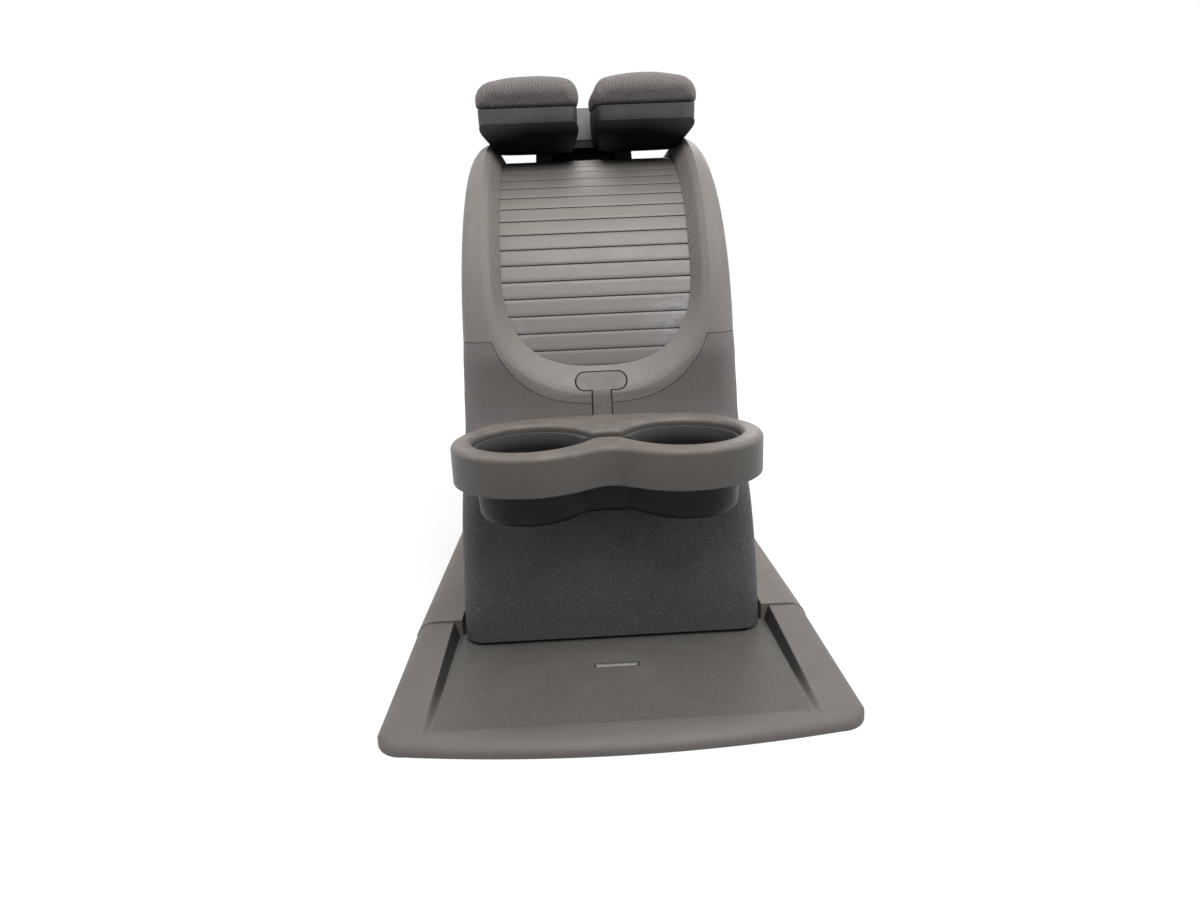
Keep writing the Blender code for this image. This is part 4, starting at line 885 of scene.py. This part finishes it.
def build_hull(name, side):
    """Moulded underside of an armrest with its hinge knuckle."""
    stations = (
        (-ARM_LENGTH, ARM_BAND_T - 0.001, 0.011),
        (-ARM_LENGTH + 0.002, ARM_BAND_T - 0.003, 0.0055),
        (-ARM_LENGTH + 0.007, ARM_BAND_T - 0.008, 0.0018),
        (-ARM_LENGTH + 0.016, ARM_BAND_T - 0.0155, 0.0003),
        (-ARM_LENGTH + 0.027, ARM_LOW_T + 0.0035, 0.0),
        (-ARM_LENGTH + HULL_CHIN, ARM_LOW_T, 0.0),
        (-ARM_LENGTH * 0.5, ARM_LOW_T, 0.0),
        (-ARM_REAR, ARM_LOW_T, 0.0),
    )
    rings = [
        hull_section(side, s, low_t, narrow)
        for s, low_t, narrow in flow(stations[:-2], 4) + list(stations[-2:])
    ]
    hull = loft(f"{name}_hull_moulding", rings)
    outline = [(-0.05, ARM_SEAM_T - 0.002), (-0.01, ARM_SEAM_T - 0.002)]
    outline += turned(0.0, 0.0, KNUCKLE_R, 80.0, -90.0, 40)
    outline.append((-0.05, -KNUCKLE_R))
    knuckle = slab("knuckle", outline, *sorted((side * KNUCKLE_IN, side * KNUCKLE_OUT)), "YZ")
    turn = Matrix.Rotation(math.radians(REST_DEG), 4, "X")
    knuckle.data.transform(Matrix.Translation((0.0, HINGE_Y, HINGE_Z)) @ turn)
    combine(hull, knuckle, "UNION")
    drop(knuckle)
    hole = turned(HINGE_Y, HINGE_Z, BUSH_R + GAP, 0.0, 360.0, 48)[:-1]
    cut(hull, loft(f"{name}_bush_hole", [[(side * x, y, z) for y, z in hole] for x in (0.05, 0.11)]))
    stand_for(hull, 38.0, f"{name}_armrest", "hull_dark", f"{name}_hull")
    return hull


def pad_profile(side, s, top_t, narrow, inset):
    """Cross-section of a fabric pad, crowned across."""
    low_in, low_out = ARM_IN + narrow + inset, ARM_OUT - narrow - inset
    seam, top_t = ARM_SEAM_T, top_t - inset
    rise = top_t - seam
    across = [
        (low_in + 0.0004, seam),
        (low_in, seam + rise * 0.22),
        (low_in + 0.0002, seam + rise * 0.48),
        (low_in + 0.0022, seam + rise * 0.72),
        (low_in + 0.0068, seam + rise * 0.89),
        (low_in + 0.015, top_t - 0.0012),
        (low_in + 0.03, top_t - 0.0002),
        (low_out - 0.04, top_t),
        (low_out - 0.021, top_t - 0.0014),
        (low_out - 0.011, seam + rise * 0.87),
        (low_out - 0.0038, seam + rise * 0.68),
        (low_out - 0.0006, seam + rise * 0.44),
        (low_out, seam + rise * 0.2),
        (low_out - 0.0004, seam),
    ]
    points = flow(across, 5)
    floor = [(points[-1][0] + (points[0][0] - points[-1][0]) * i / 16, seam) for i in range(1, 16)]
    return [arm_point(side * x, s, t) for x, t in points + floor]


def swell(pad):
    """Lets the pad's cover take up pressure for a moment, held along its lower edge."""
    remesh = pad.modifiers.new("voxels", "REMESH")
    remesh.mode = "VOXEL"
    remesh.voxel_size = PAD_VOXEL
    settle(pad)
    rest = [vert.co.copy() for vert in pad.data.vertices]
    held = pad.vertex_groups.new(name="held")
    for vert in pad.data.vertices:
        _, t = arm_place(vert.co)
        weight = 1.0 - ease((t - ARM_SEAM_T - 0.001) / 0.005)
        held.add([vert.index], weight, "REPLACE")
    cloth = pad.modifiers.new("cloth", "CLOTH")
    cloth.settings.use_pressure = True
    cloth.settings.uniform_pressure_force = PAD_PRESSURE
    cloth.settings.effector_weights.gravity = 0.0
    cloth.settings.vertex_group_mass = "held"
    cloth.settings.quality = 5
    scene = bpy.context.scene
    for step in range(PAD_FRAMES):
        scene.frame_set(step + 1)
    settle(pad)
    scene.frame_set(1)
    for vert, start in zip(pad.data.vertices, rest):
        move = vert.co - start
        if move.length > PAD_SWELL:
            vert.co = start + move * (PAD_SWELL / move.length)


def build_pad(name, side):
    """Foam pad under tight cloth: crowned, swollen a little, tucked in along its seam."""
    crown = ARM_TOP_T
    stations = (
        (-ARM_LENGTH + 0.002, crown - 0.017, 0.011),
        (-ARM_LENGTH - 0.0004, crown - 0.012, 0.007),
        (-ARM_LENGTH + 0.003, crown - 0.0066, 0.0034),
        (-ARM_LENGTH + 0.011, crown - 0.0026, 0.001),
        (-ARM_LENGTH + 0.03, crown - 0.0003, 0.0),
        (-ARM_LENGTH * 0.55, crown, 0.0),
        (-ARM_REAR - 0.025, crown - 0.0005, 0.0),
        (-ARM_REAR - 0.008, crown - 0.0045, 0.0008),
        (-ARM_REAR, crown - 0.014, 0.004),
    )
    inset = PAD_START_INSET
    rings = []
    for s, top_t, narrow in flow(stations, 5):
        moved = s + (inset if s < -0.14 else -inset)
        rings.append(pad_profile(side, moved, top_t, narrow, inset))
    pad = loft(f"{name}_pad_cushion", rings)
    swell(pad)
    soften = pad.modifiers.new("fair", "SMOOTH")
    soften.factor = 0.5
    soften.iterations = 4
    settle(pad)
    finer = pad.modifiers.new("finer", "SUBSURF")
    finer.levels = 1
    finer.render_levels = 1
    settle(pad)
    mid_x = side * (ARM_IN + ARM_OUT) / 2
    mid_s = -(ARM_LENGTH + ARM_REAR) / 2
    hinge = arm_point(0.0, 0.0, 0.0)
    along = arm_point(0.0, 1.0, 0.0) - hinge
    above = arm_point(0.0, 0.0, 1.0) - hinge
    for vert in pad.data.vertices:
        s, t = arm_place(vert.co)
        over = t - ARM_SEAM_T
        near_edge = 1.0 - ease(over / 0.003)
        pull = Vector((mid_x - vert.co.x, 0.0, 0.0)).normalized() * SEAM_TUCK * near_edge
        inwards = along if s < mid_s else -along
        ends = ease((abs(s - mid_s) - 0.085) / 0.02)
        vert.co += pull * (1.0 - ends) + inwards * SEAM_TUCK * near_edge * ends
        soft = noise.noise(Vector((vert.co.x * 26.0, s * 18.0, side * 7.0 + t * 20.0)))
        vert.co += above * PAD_UNEVEN * soft * ease((over - 0.004) / 0.01)
        vert.co += above * max(GAP - over, 0.0)
    stand_for(pad, 60.0, f"{name}_armrest", "fabric", f"{name}_pad")
    return pad


# Materials

class Surface:
    """A Principled material whose colour, roughness and relief are built step by step."""

    def __init__(self, name, colour, roughness, specular=0.5, metallic=0.0):
        self.made = bpy.data.materials.new(name)
        self.made.use_nodes = True
        self.tree = self.made.node_tree
        self.shader = self.tree.nodes["Principled BSDF"]
        self.shader.inputs["Base Color"].default_value = (*colour, 1.0)
        self.shader.inputs["Roughness"].default_value = roughness
        self.shader.inputs["Specular IOR Level"].default_value = specular
        self.shader.inputs["Metallic"].default_value = metallic
        self.coords = self.tree.nodes.new("ShaderNodeTexCoord").outputs["Object"]
        self.colour = None
        self.base = colour
        self.relief = None

    def add(self, kind, output, inputs, **values):
        """Adds a node with its settings and inputs, each a number or a link; one output."""
        made = self.tree.nodes.new(kind)
        for key, value in values.items():
            setattr(made, key, value)
        for key, value in inputs.items():
            self.feed(value, made.inputs[key])
        return made.outputs[output]

    def feed(self, value, socket):
        """Joins an output to an input, or sets a plain value there."""
        if isinstance(value, bpy.types.NodeSocket):
            self.tree.links.new(value, socket)
        else:
            socket.default_value = value

    def stretched(self, scale, turn=(0.0, 0.0, 0.0)):
        """Coordinates scaled apart along the axes and turned."""
        turn = [math.radians(part) for part in turn]
        inputs = {"Vector": self.coords, "Scale": scale, "Rotation": turn}
        return self.add("ShaderNodeMapping", "Vector", inputs)

    def noise(self, scale, detail=2.0, rough=0.5, where=None):
        """Noise between 0 and 1."""
        inputs = {
            "Vector": where or self.coords, "Scale": scale, "Detail": detail, "Roughness": rough,
        }
        return self.add("ShaderNodeTexNoise", "Fac", inputs)

    def cells(self, scale, randomness=1.0, where=None):
        """Distance to the nearest cell centre."""
        inputs = {"Vector": where or self.coords, "Scale": scale, "Randomness": randomness}
        return self.add("ShaderNodeTexVoronoi", "Distance", inputs)

    def ramp(self, source, low, high, start=0.0, end=1.0):
        """Value taken from one range to another, clamped."""
        inputs = {"Value": source, "From Min": low, "From Max": high, "To Min": start, "To Max": end}
        return self.add("ShaderNodeMapRange", "Result", inputs, clamp=True)

    def math(self, operation, *parts):
        """Math node on outputs or numbers."""
        return self.add("ShaderNodeMath", "Value", dict(enumerate(parts)), operation=operation)

    def axis(self, letter):
        """One of the object's coordinates."""
        return self.add("ShaderNodeSeparateXYZ", letter, {"Vector": self.coords})

    def marked(self, name):
        """An attribute of the mesh's points."""
        return self.add("ShaderNodeAttribute", "Fac", {}, attribute_name=name)

    def product(self, first, *others):
        """Outputs or numbers multiplied together."""
        for other in others:
            first = self.math("MULTIPLY", first, other)
        return first

    def tint(self, colour, *masks):
        """Mixes a colour in as far as the product of the masks says."""
        under = self.colour or (*self.base, 1.0)
        inputs = {"Factor": self.product(*masks), 6: under, 7: (*colour, 1.0)}
        self.colour = self.add("ShaderNodeMix", 2, inputs, data_type="RGBA")
        self.feed(self.colour, self.shader.inputs["Base Color"])

    def shade(self, source, low, high):
        """Multiplies the colour by a value that runs from low to high with the source."""
        self.tint([c * low for c in self.base], self.ramp(source, 0.3, 0.7, 1.0, 0.0))
        self.tint([c * high for c in self.base], self.ramp(source, 0.3, 0.7, 0.0, 0.5))

    def gloss(self, source, low, high):
        """Roughness between two values with the source."""
        self.feed(self.ramp(source, 0.3, 0.7, low, high), self.shader.inputs["Roughness"])

    def bump(self, height, distance):
        """Adds relief, in metres."""
        inputs = {"Height": height, "Distance": distance, "Strength": 1.0}
        if self.relief is not None:
            inputs["Normal"] = self.relief
        self.relief = self.add("ShaderNodeBump", "Normal", inputs)
        self.feed(self.relief, self.shader.inputs["Normal"])


def moulded(
    name, colour, roughness, grain=0.00006, speckle=0.35, cloud=0.1, scale=850.0, specular=0.32
):
    """Grained moulding: fine leather-like pits, pale specks, soft clouds of tone."""
    made = Surface(name, colour, roughness, specular)
    made.shade(made.noise(9.0, 3.0, 0.55), 1.0 - cloud, 1.0 + cloud)
    fine = made.noise(scale * 1.9, 2.0, 0.6)
    made.tint([min(c * 1.75, 1.0) for c in colour], made.ramp(fine, 0.56, 0.74, 0.0, speckle))
    made.tint([c * 0.55 for c in colour], made.ramp(fine, 0.44, 0.28, 0.0, speckle * 0.9))
    made.bump(made.cells(scale), grain)
    made.bump(fine, grain * 0.7)
    made.gloss(made.noise(45.0, 3.0), roughness - 0.05, roughness + 0.07)
    return made


def shell_brown():
    """Upper shell: warm grey-brown, satin, finely grained, worn paler in patches, with painted light
    making it paler low down.
    """
    made = moulded("shell_brown_grain", (0.212, 0.19, 0.174), 0.5, 0.00005, 0.22, 0.09)
    made.tint((0.3, 0.268, 0.245), made.ramp(made.noise(38.0, 4.0, 0.7), 0.62, 0.82, 0.0, 0.26))
    # Painted light: paler low down, where the shell faces down and takes less light.
    made.tint((0.285, 0.258, 0.238), made.ramp(made.axis("Z"), 0.3, 0.235, 0.0, 0.45))
    return made


def ring_brown():
    """The cup ring's moulding, with a painted highlight along its top edges."""
    made = moulded("cup_ring_grain", (0.094, 0.086, 0.08), 0.46, 0.00004, 0.22, 0.1)
    # Painted highlight along the top edges, spotted by noise.
    painted_top_highlight = made.ramp(made.axis("Z"), RING_TOP_Z - RING_EDGE, RING_TOP_Z - RING_EDGE / 4)
    made.tint((0.172, 0.152, 0.137), painted_top_highlight, 0.8)
    spots = made.ramp(made.noise(60.0, 4.0, 0.65), 0.4, 0.62, 0.0, 0.55)
    made.tint((0.225, 0.192, 0.166), painted_top_highlight, spots)
    return made


def shell_dark():
    """Lower shell: brown-black with clear pale speckle, dustier towards the foot and darker there,
    partly painted shade under the cup holder.
    """
    made = moulded("shell_dark_grain", (0.19, 0.176, 0.169), 0.58, 0.0001, 0.4, 0.12, 620.0)
    # Darker towards the foot: partly the moulding's tone, partly painted shade under the cup holder; the
    # speckle and dust share this mask.
    low = made.ramp(made.axis("Z"), 0.2, 0.12)
    made.tint((0.056, 0.056, 0.062), low, 0.92)
    grains = made.ramp(made.noise(560.0, 3.0, 0.75), 0.53, 0.66, 0.0, 0.75)
    made.tint((0.165, 0.163, 0.18), low, grains)
    dust = made.ramp(made.noise(150.0, 5.0, 0.8), 0.62, 0.7, 0.0, 0.35)
    made.tint((0.21, 0.205, 0.2), low, dust)
    return made


def insert_dark():
    """The cup insert: dark with a soft sheen, near black low down as painted shade under the ring, dark
    grey higher up.
    """
    made = moulded(
        "cup_insert_grain", (0.014, 0.013, 0.014), 0.42, 0.00004, 0.35, 0.14, specular=0.14
    )
    # Painted shade: the base colour is the shaded tone under the ring; higher up it is tinted to the
    # insert's dark grey.
    inside = made.ramp(made.axis("Z"), CUP_LOW_Z + 0.04, RING_TOP_Z - RING_PLATE)
    made.tint((0.125, 0.118, 0.116), inside, 0.75)
    return made


def shutter_surface():
    """Slats: satin taupe, brushed along, scuffed low down, hazy on the right, painted paler low down as
    painted light, and at the top painted shade under the armrests with a painted glow between them.
    """
    made = Surface("shutter_satin", (0.232, 0.208, 0.188), 0.42, 0.35)
    made.shade(made.noise(1.0, 3.0, 0.5, made.stretched((3.0, 26.0, 26.0))), 0.88, 1.1)
    fine = made.noise(1500.0, 2.0, 0.6)
    made.tint((0.36, 0.33, 0.305), made.ramp(fine, 0.58, 0.78, 0.0, 0.22))
    x, z = made.axis("X"), made.axis("Z")
    streak = made.ramp(
        made.noise(1.0, 5.0, 0.75, made.stretched((60.0, 200.0, 200.0))), 0.42, 0.6
    )
    scuffed = made.product(
        made.ramp(x, 0.034, 0.064), made.ramp(z, 0.232, 0.252), made.ramp(z, 0.305, 0.275)
    )
    made.tint((0.56, 0.57, 0.6), scuffed, streak, 0.85)
    worn = made.product(made.ramp(z, 0.275, 0.262), made.ramp(x, -0.05, -0.066))
    made.tint((0.48, 0.46, 0.44), worn, streak, 0.5)
    haze = made.product(made.ramp(x, -0.005, 0.06), made.ramp(z, 0.36, 0.26))
    made.tint((0.37, 0.355, 0.345), haze, made.ramp(made.noise(30.0, 3.0, 0.6), 0.42, 0.66), 0.38)
    # Painted light: the lower slats are painted paler.
    made.tint((0.3, 0.285, 0.278), made.ramp(z, 0.33, 0.255), 0.7)
    aside = made.math("ABSOLUTE", x)
    # Painted shade on the top slats at both sides, under the armrests.
    made.tint((0.052, 0.049, 0.046), made.ramp(z, 0.366, 0.41), made.ramp(aside, 0.007, 0.032), 0.62)
    # Painted glow in the middle of the top slats, where light falls between the armrests.
    made.tint((0.4, 0.375, 0.355), made.ramp(z, 0.38, 0.41), made.ramp(aside, 0.022, 0.002), 0.25)
    made.bump(fine, 0.00002)
    made.bump(made.noise(1.0, 3.0, 0.5, made.stretched((5.0, 130.0, 130.0))), 0.0001)
    made.gloss(made.noise(32.0, 4.0), 0.36, 0.5)
    return made


def tray_surface():
    """Front tray: smooth brown-grey wings and lip, coarser greenish-grey panel, painted shade on the
    recess walls.
    """
    made = moulded("tray_grain", (0.158, 0.141, 0.129), 0.55, 0.00004, 0.2, 0.09)
    inside = made.marked("panel")
    pebble = made.cells(620.0)
    made.tint((0.104, 0.098, 0.088), inside, made.ramp(pebble, 0.25, 0.75, 0.7, 1.0))
    specks = made.ramp(made.noise(900.0, 2.0, 0.7), 0.58, 0.74, 0.0, 0.5)
    made.tint((0.215, 0.205, 0.188), inside, specks)
    smudge = made.ramp(made.noise(22.0, 4.0, 0.65), 0.5, 0.72, 0.0, 0.3)
    made.tint((0.15, 0.143, 0.13), inside, smudge)
    made.bump(made.product(inside, pebble), 0.00022)
    # Painted shade on the recess walls.
    made.tint((0.026, 0.024, 0.023), made.marked("wall"), 0.88)
    # Painted shadow round the notch's slot, and a painted highlight along its lit edge.
    across = made.math("ABSOLUTE", made.axis("X"))
    along = made.math("ABSOLUTE", made.math("SUBTRACT", made.axis("Y"), NOTCH_Y))
    for reach, wide, colour in (
        (NOTCH_HALF + 0.0014, NOTCH_WIDE + 0.0008, (0.03, 0.028, 0.026)),
        (NOTCH_HALF - 0.0004, NOTCH_WIDE * 0.75, (0.42, 0.4, 0.36)),
    ):
        end = made.ramp(across, reach + 0.0006, reach - 0.0006)
        edge = made.ramp(along, wide + 0.0005, wide - 0.0005)
        made.tint(colour, end, edge, 0.8)
    lines = made.noise(1.0, 2.0, 0.6, made.stretched((420.0, 9.0, 40.0), (0.0, 0.0, 24.0)))
    made.tint((0.3, 0.28, 0.26), made.ramp(lines, 0.76, 0.8, 0.0, 0.18))
    return made


def fabric_surface():
    """Tight dark cloth: rows of small stitches set at a slant, with a dusty nap."""
    made = Surface("armrest_cloth", (0.235, 0.212, 0.204), 0.92, 0.2)
    made.shader.inputs["Sheen Weight"].default_value = 0.25
    made.shader.inputs["Sheen Roughness"].default_value = 0.45
    made.shader.inputs["Sheen Tint"].default_value = (0.62, 0.56, 0.54, 1.0)
    stitches = made.cells(560.0, 0.16, made.stretched((1.0, 0.72, 1.0), (32.0, 18.0, 38.0)))
    made.tint((0.104, 0.094, 0.092), made.ramp(stitches, 0.32, 0.62, 0.0, 0.8))
    made.tint((0.31, 0.285, 0.275), made.ramp(stitches, 0.2, 0.05, 0.0, 0.5))
    fuzz = made.noise(1900.0, 2.0, 0.7)
    made.tint((0.32, 0.295, 0.285), made.ramp(fuzz, 0.55, 0.78, 0.0, 0.35))
    made.tint((0.24, 0.212, 0.198), made.ramp(made.noise(16.0, 3.0, 0.6), 0.5, 0.75, 0.0, 0.25))
    made.bump(stitches, -0.00045)
    made.bump(fuzz, 0.0001)
    return made


def arm_height(made):
    """Height across a resting armrest, the t of arm_point, from the piece's own coordinates."""
    turn = math.radians(REST_DEG)
    up = made.product(made.math("SUBTRACT", made.axis("Z"), HINGE_Z), math.cos(turn))
    back = made.product(made.math("SUBTRACT", made.axis("Y"), HINGE_Y), math.sin(turn))
    return made.math("SUBTRACT", up, back)


def hull_surface():
    """Armrest undersides: black below, with painted light on a greyer band under the seam and a painted
    reflection on the inner lower edge.
    """
    made = moulded("hull_grain", (0.007, 0.007, 0.008), 0.5, 0.00004, 0.25, 0.08, specular=0.07)
    across = made.math("ABSOLUTE", made.axis("X"))
    height = arm_height(made)
    # Painted light: a greyer band under the seam, reaching lower at the outer side.
    droop = made.ramp(across, 0.055, ARM_OUT, 0.0, 0.012)
    band = made.ramp(made.math("ADD", height, droop), ARM_BAND_T - 0.01, ARM_BAND_T + 0.005)
    uneven = made.ramp(made.noise(40.0, 3.0, 0.6), 0.35, 0.65, 0.8, 1.0)
    made.tint((0.118, 0.121, 0.128), band, uneven)
    # Painted reflection along the inner lower edge.
    inner, low = made.ramp(across, 0.034, 0.012), made.ramp(height, -0.004, -0.018)
    made.tint((0.085, 0.086, 0.09), inner, low, 0.45)
    return made


def arrow_surface():
    """The curtain's chevron, painted paler than the slats as a painted highlight."""
    return Surface("shutter_arrow_pale", (0.5, 0.475, 0.45), 0.45)


def steel_surface():
    """Zinc-plated sheet with a rolled streak."""
    made = Surface("zinc_steel", (0.46, 0.46, 0.47), 0.38, metallic=1.0)
    streak = made.noise(1.0, 3.0, 0.6, made.stretched((160.0, 6.0, 160.0)))
    made.tint((0.34, 0.34, 0.36), made.ramp(streak, 0.4, 0.7, 0.0, 0.5))
    made.bump(streak, 0.00003)
    made.gloss(made.noise(25.0, 3.0), 0.3, 0.48)
    return made


FINISHES = {
    "inner_black": ("inner_black_grain", (0.02, 0.02, 0.022), 0.5, 0.00004, 0.3, 0.1),
    "armrest_pillar": ("pillar_black_grain", (0.062, 0.064, 0.062), 0.46, 0.00004, 0.3, 0.1),
    "cover_grey": ("cover_grey_satin", (0.3, 0.298, 0.292), 0.46, 0.00002, 0.12, 0.06),
    "trim_brown": ("rear_trim_grain", (0.176, 0.155, 0.138), 0.55, 0.00004, 0.2, 0.09),
    "shell_dark": ("rear_panel_grain", (0.06, 0.058, 0.06), 0.56, 0.00006, 0.5, 0.12),
    "bush_white": ("acetal_white", (0.7, 0.69, 0.66), 0.42, 0.00002, 0.05, 0.03),
}


def dress_frame_nodes():
    """Gives each node that shows its own procedural finish and eased edges."""
    finishes = {slot: moulded(*values) for slot, values in FINISHES.items()}
    finishes["steel"] = steel_surface()
    slots = {part["node"]: part["material_slot"] for part in frame["record"]["subparts"]}
    for name, thing in NODES.items():
        if thing.hide_render:
            continue
        surface = finishes[name if name in finishes else slots[name]]
        if not thing.material_slots:
            thing.data.materials.append(surface.made)
        for entry in thing.material_slots:
            entry.material = surface.made
        soft = thing.modifiers.new("eased", "BEVEL")
        soft.width = 0.0016 if name in ("armrest_pillar", "pillar_cover") else 0.0005
        soft.segments = 3
        soft.limit_method = "ANGLE"
        soft.angle_limit = math.radians(40.0)
        soft.harden_normals = True


def paint(surface, *things):
    """Puts one material on pieces."""
    for thing in things:
        thing.data.materials.clear()
        thing.data.materials.append(surface.made)


def background_rays(tree):
    """1 for rays that look at the background from the camera, a reflection or through glass."""
    path = tree.nodes.new("ShaderNodeLightPath")
    seen = path.outputs["Is Camera Ray"]
    for kind in ("Is Glossy Ray", "Is Transmission Ray"):
        both = tree.nodes.new("ShaderNodeMath")
        both.operation = "MAXIMUM"
        tree.links.new(seen, both.inputs[0])
        tree.links.new(path.outputs[kind], both.inputs[1])
        seen = both.outputs["Value"]
    return seen


def build_floor():
    """A floor that shows near white, keeps the object's shadow and fades into the backdrop."""
    floor = block("studio_floor", (-30.0, -30.0, -0.02), (30.0, 30.0, -0.0002))
    surface = Surface("studio_floor_pale", FLOOR_COLOUR, 0.9, 0.0)
    surface.tint([c * 0.95 for c in FLOOR_COLOUR], surface.ramp(surface.noise(3.0), 0.0, 1.0, 0.0, 0.02))
    reach = surface.add("ShaderNodeVectorMath", "Value", {0: surface.coords}, operation="LENGTH")
    glow = surface.ramp(reach, FLOOR_NEAR, FLOOR_FAR, FLOOR_GLOW, 1.0)
    shown = surface.product(glow, background_rays(surface.tree))
    surface.shader.inputs["Emission Color"].default_value = (1.0, 1.0, 1.0, 1.0)
    surface.feed(shown, surface.shader.inputs["Emission Strength"])
    paint(surface, floor)


def build_world():
    """A white backdrop for the eye and for reflections, and a low even fill for the rest."""
    world = bpy.data.worlds.new("studio_world")
    bpy.context.scene.world = world
    world.use_nodes = True
    tree = world.node_tree
    back = tree.nodes["Background"]
    back.inputs["Color"].default_value = (1.0, 1.0, 1.0, 1.0)
    level = tree.nodes.new("ShaderNodeMapRange")
    level.inputs["To Min"].default_value = WORLD_FILL
    level.inputs["To Max"].default_value = 1.0
    tree.links.new(background_rays(tree), level.inputs["Value"])
    tree.links.new(level.outputs["Result"], back.inputs["Strength"])


def build_stage():
    """Pale floor, soft light from above and the camera at the photograph's angle."""
    build_floor()
    build_world()
    for name, place, power, size in LAMPS:
        light = bpy.data.lights.new(f"studio_{name}", "AREA")
        light.energy = power
        light.size = size
        lamp = bpy.data.objects.new(f"studio_{name}", light)
        lamp.location = place
        aim = Vector((0.0, 0.0, 0.25)) - Vector(place)
        lamp.rotation_euler = aim.to_track_quat("-Z", "Y").to_euler()
        bpy.context.scene.collection.objects.link(lamp)

    lens = bpy.data.cameras.new("photo_camera")
    lens.sensor_width = SENSOR
    lens.lens = CAMERA_LENS
    camera = bpy.data.objects.new("photo_camera", lens)
    yaw, pitch, roll = (math.radians(a) for a in (CAMERA_YAW, CAMERA_PITCH, CAMERA_ROLL))
    camera.matrix_world = (
        Matrix.Translation(CAMERA_AT)
        @ Matrix.Rotation(-yaw, 4, "Z")
        @ Matrix.Rotation(math.pi / 2 - pitch, 4, "X")
        @ Matrix.Rotation(roll, 4, "Z")
    )
    bpy.context.scene.collection.objects.link(camera)
    bpy.context.scene.camera = camera
    bpy.context.scene.view_settings.view_transform = "Standard"


upper, lower = build_shells()
curtain, arrow = build_shutter()
ring, insert = build_cup_holder()
tray = build_tray()
hulls = [build_hull(name, side) for name, side in (("left", -1), ("right", 1))]
pads = [build_pad(name, side) for name, side in (("left", -1), ("right", 1))]
dress_frame_nodes()
paint(shell_brown(), upper)
paint(ring_brown(), ring)
paint(shell_dark(), lower)
paint(insert_dark(), insert)
paint(shutter_surface(), curtain)
paint(arrow_surface(), arrow)
paint(tray_surface(), tray)
paint(hull_surface(), *hulls)
paint(fabric_surface(), *pads)
build_stage()
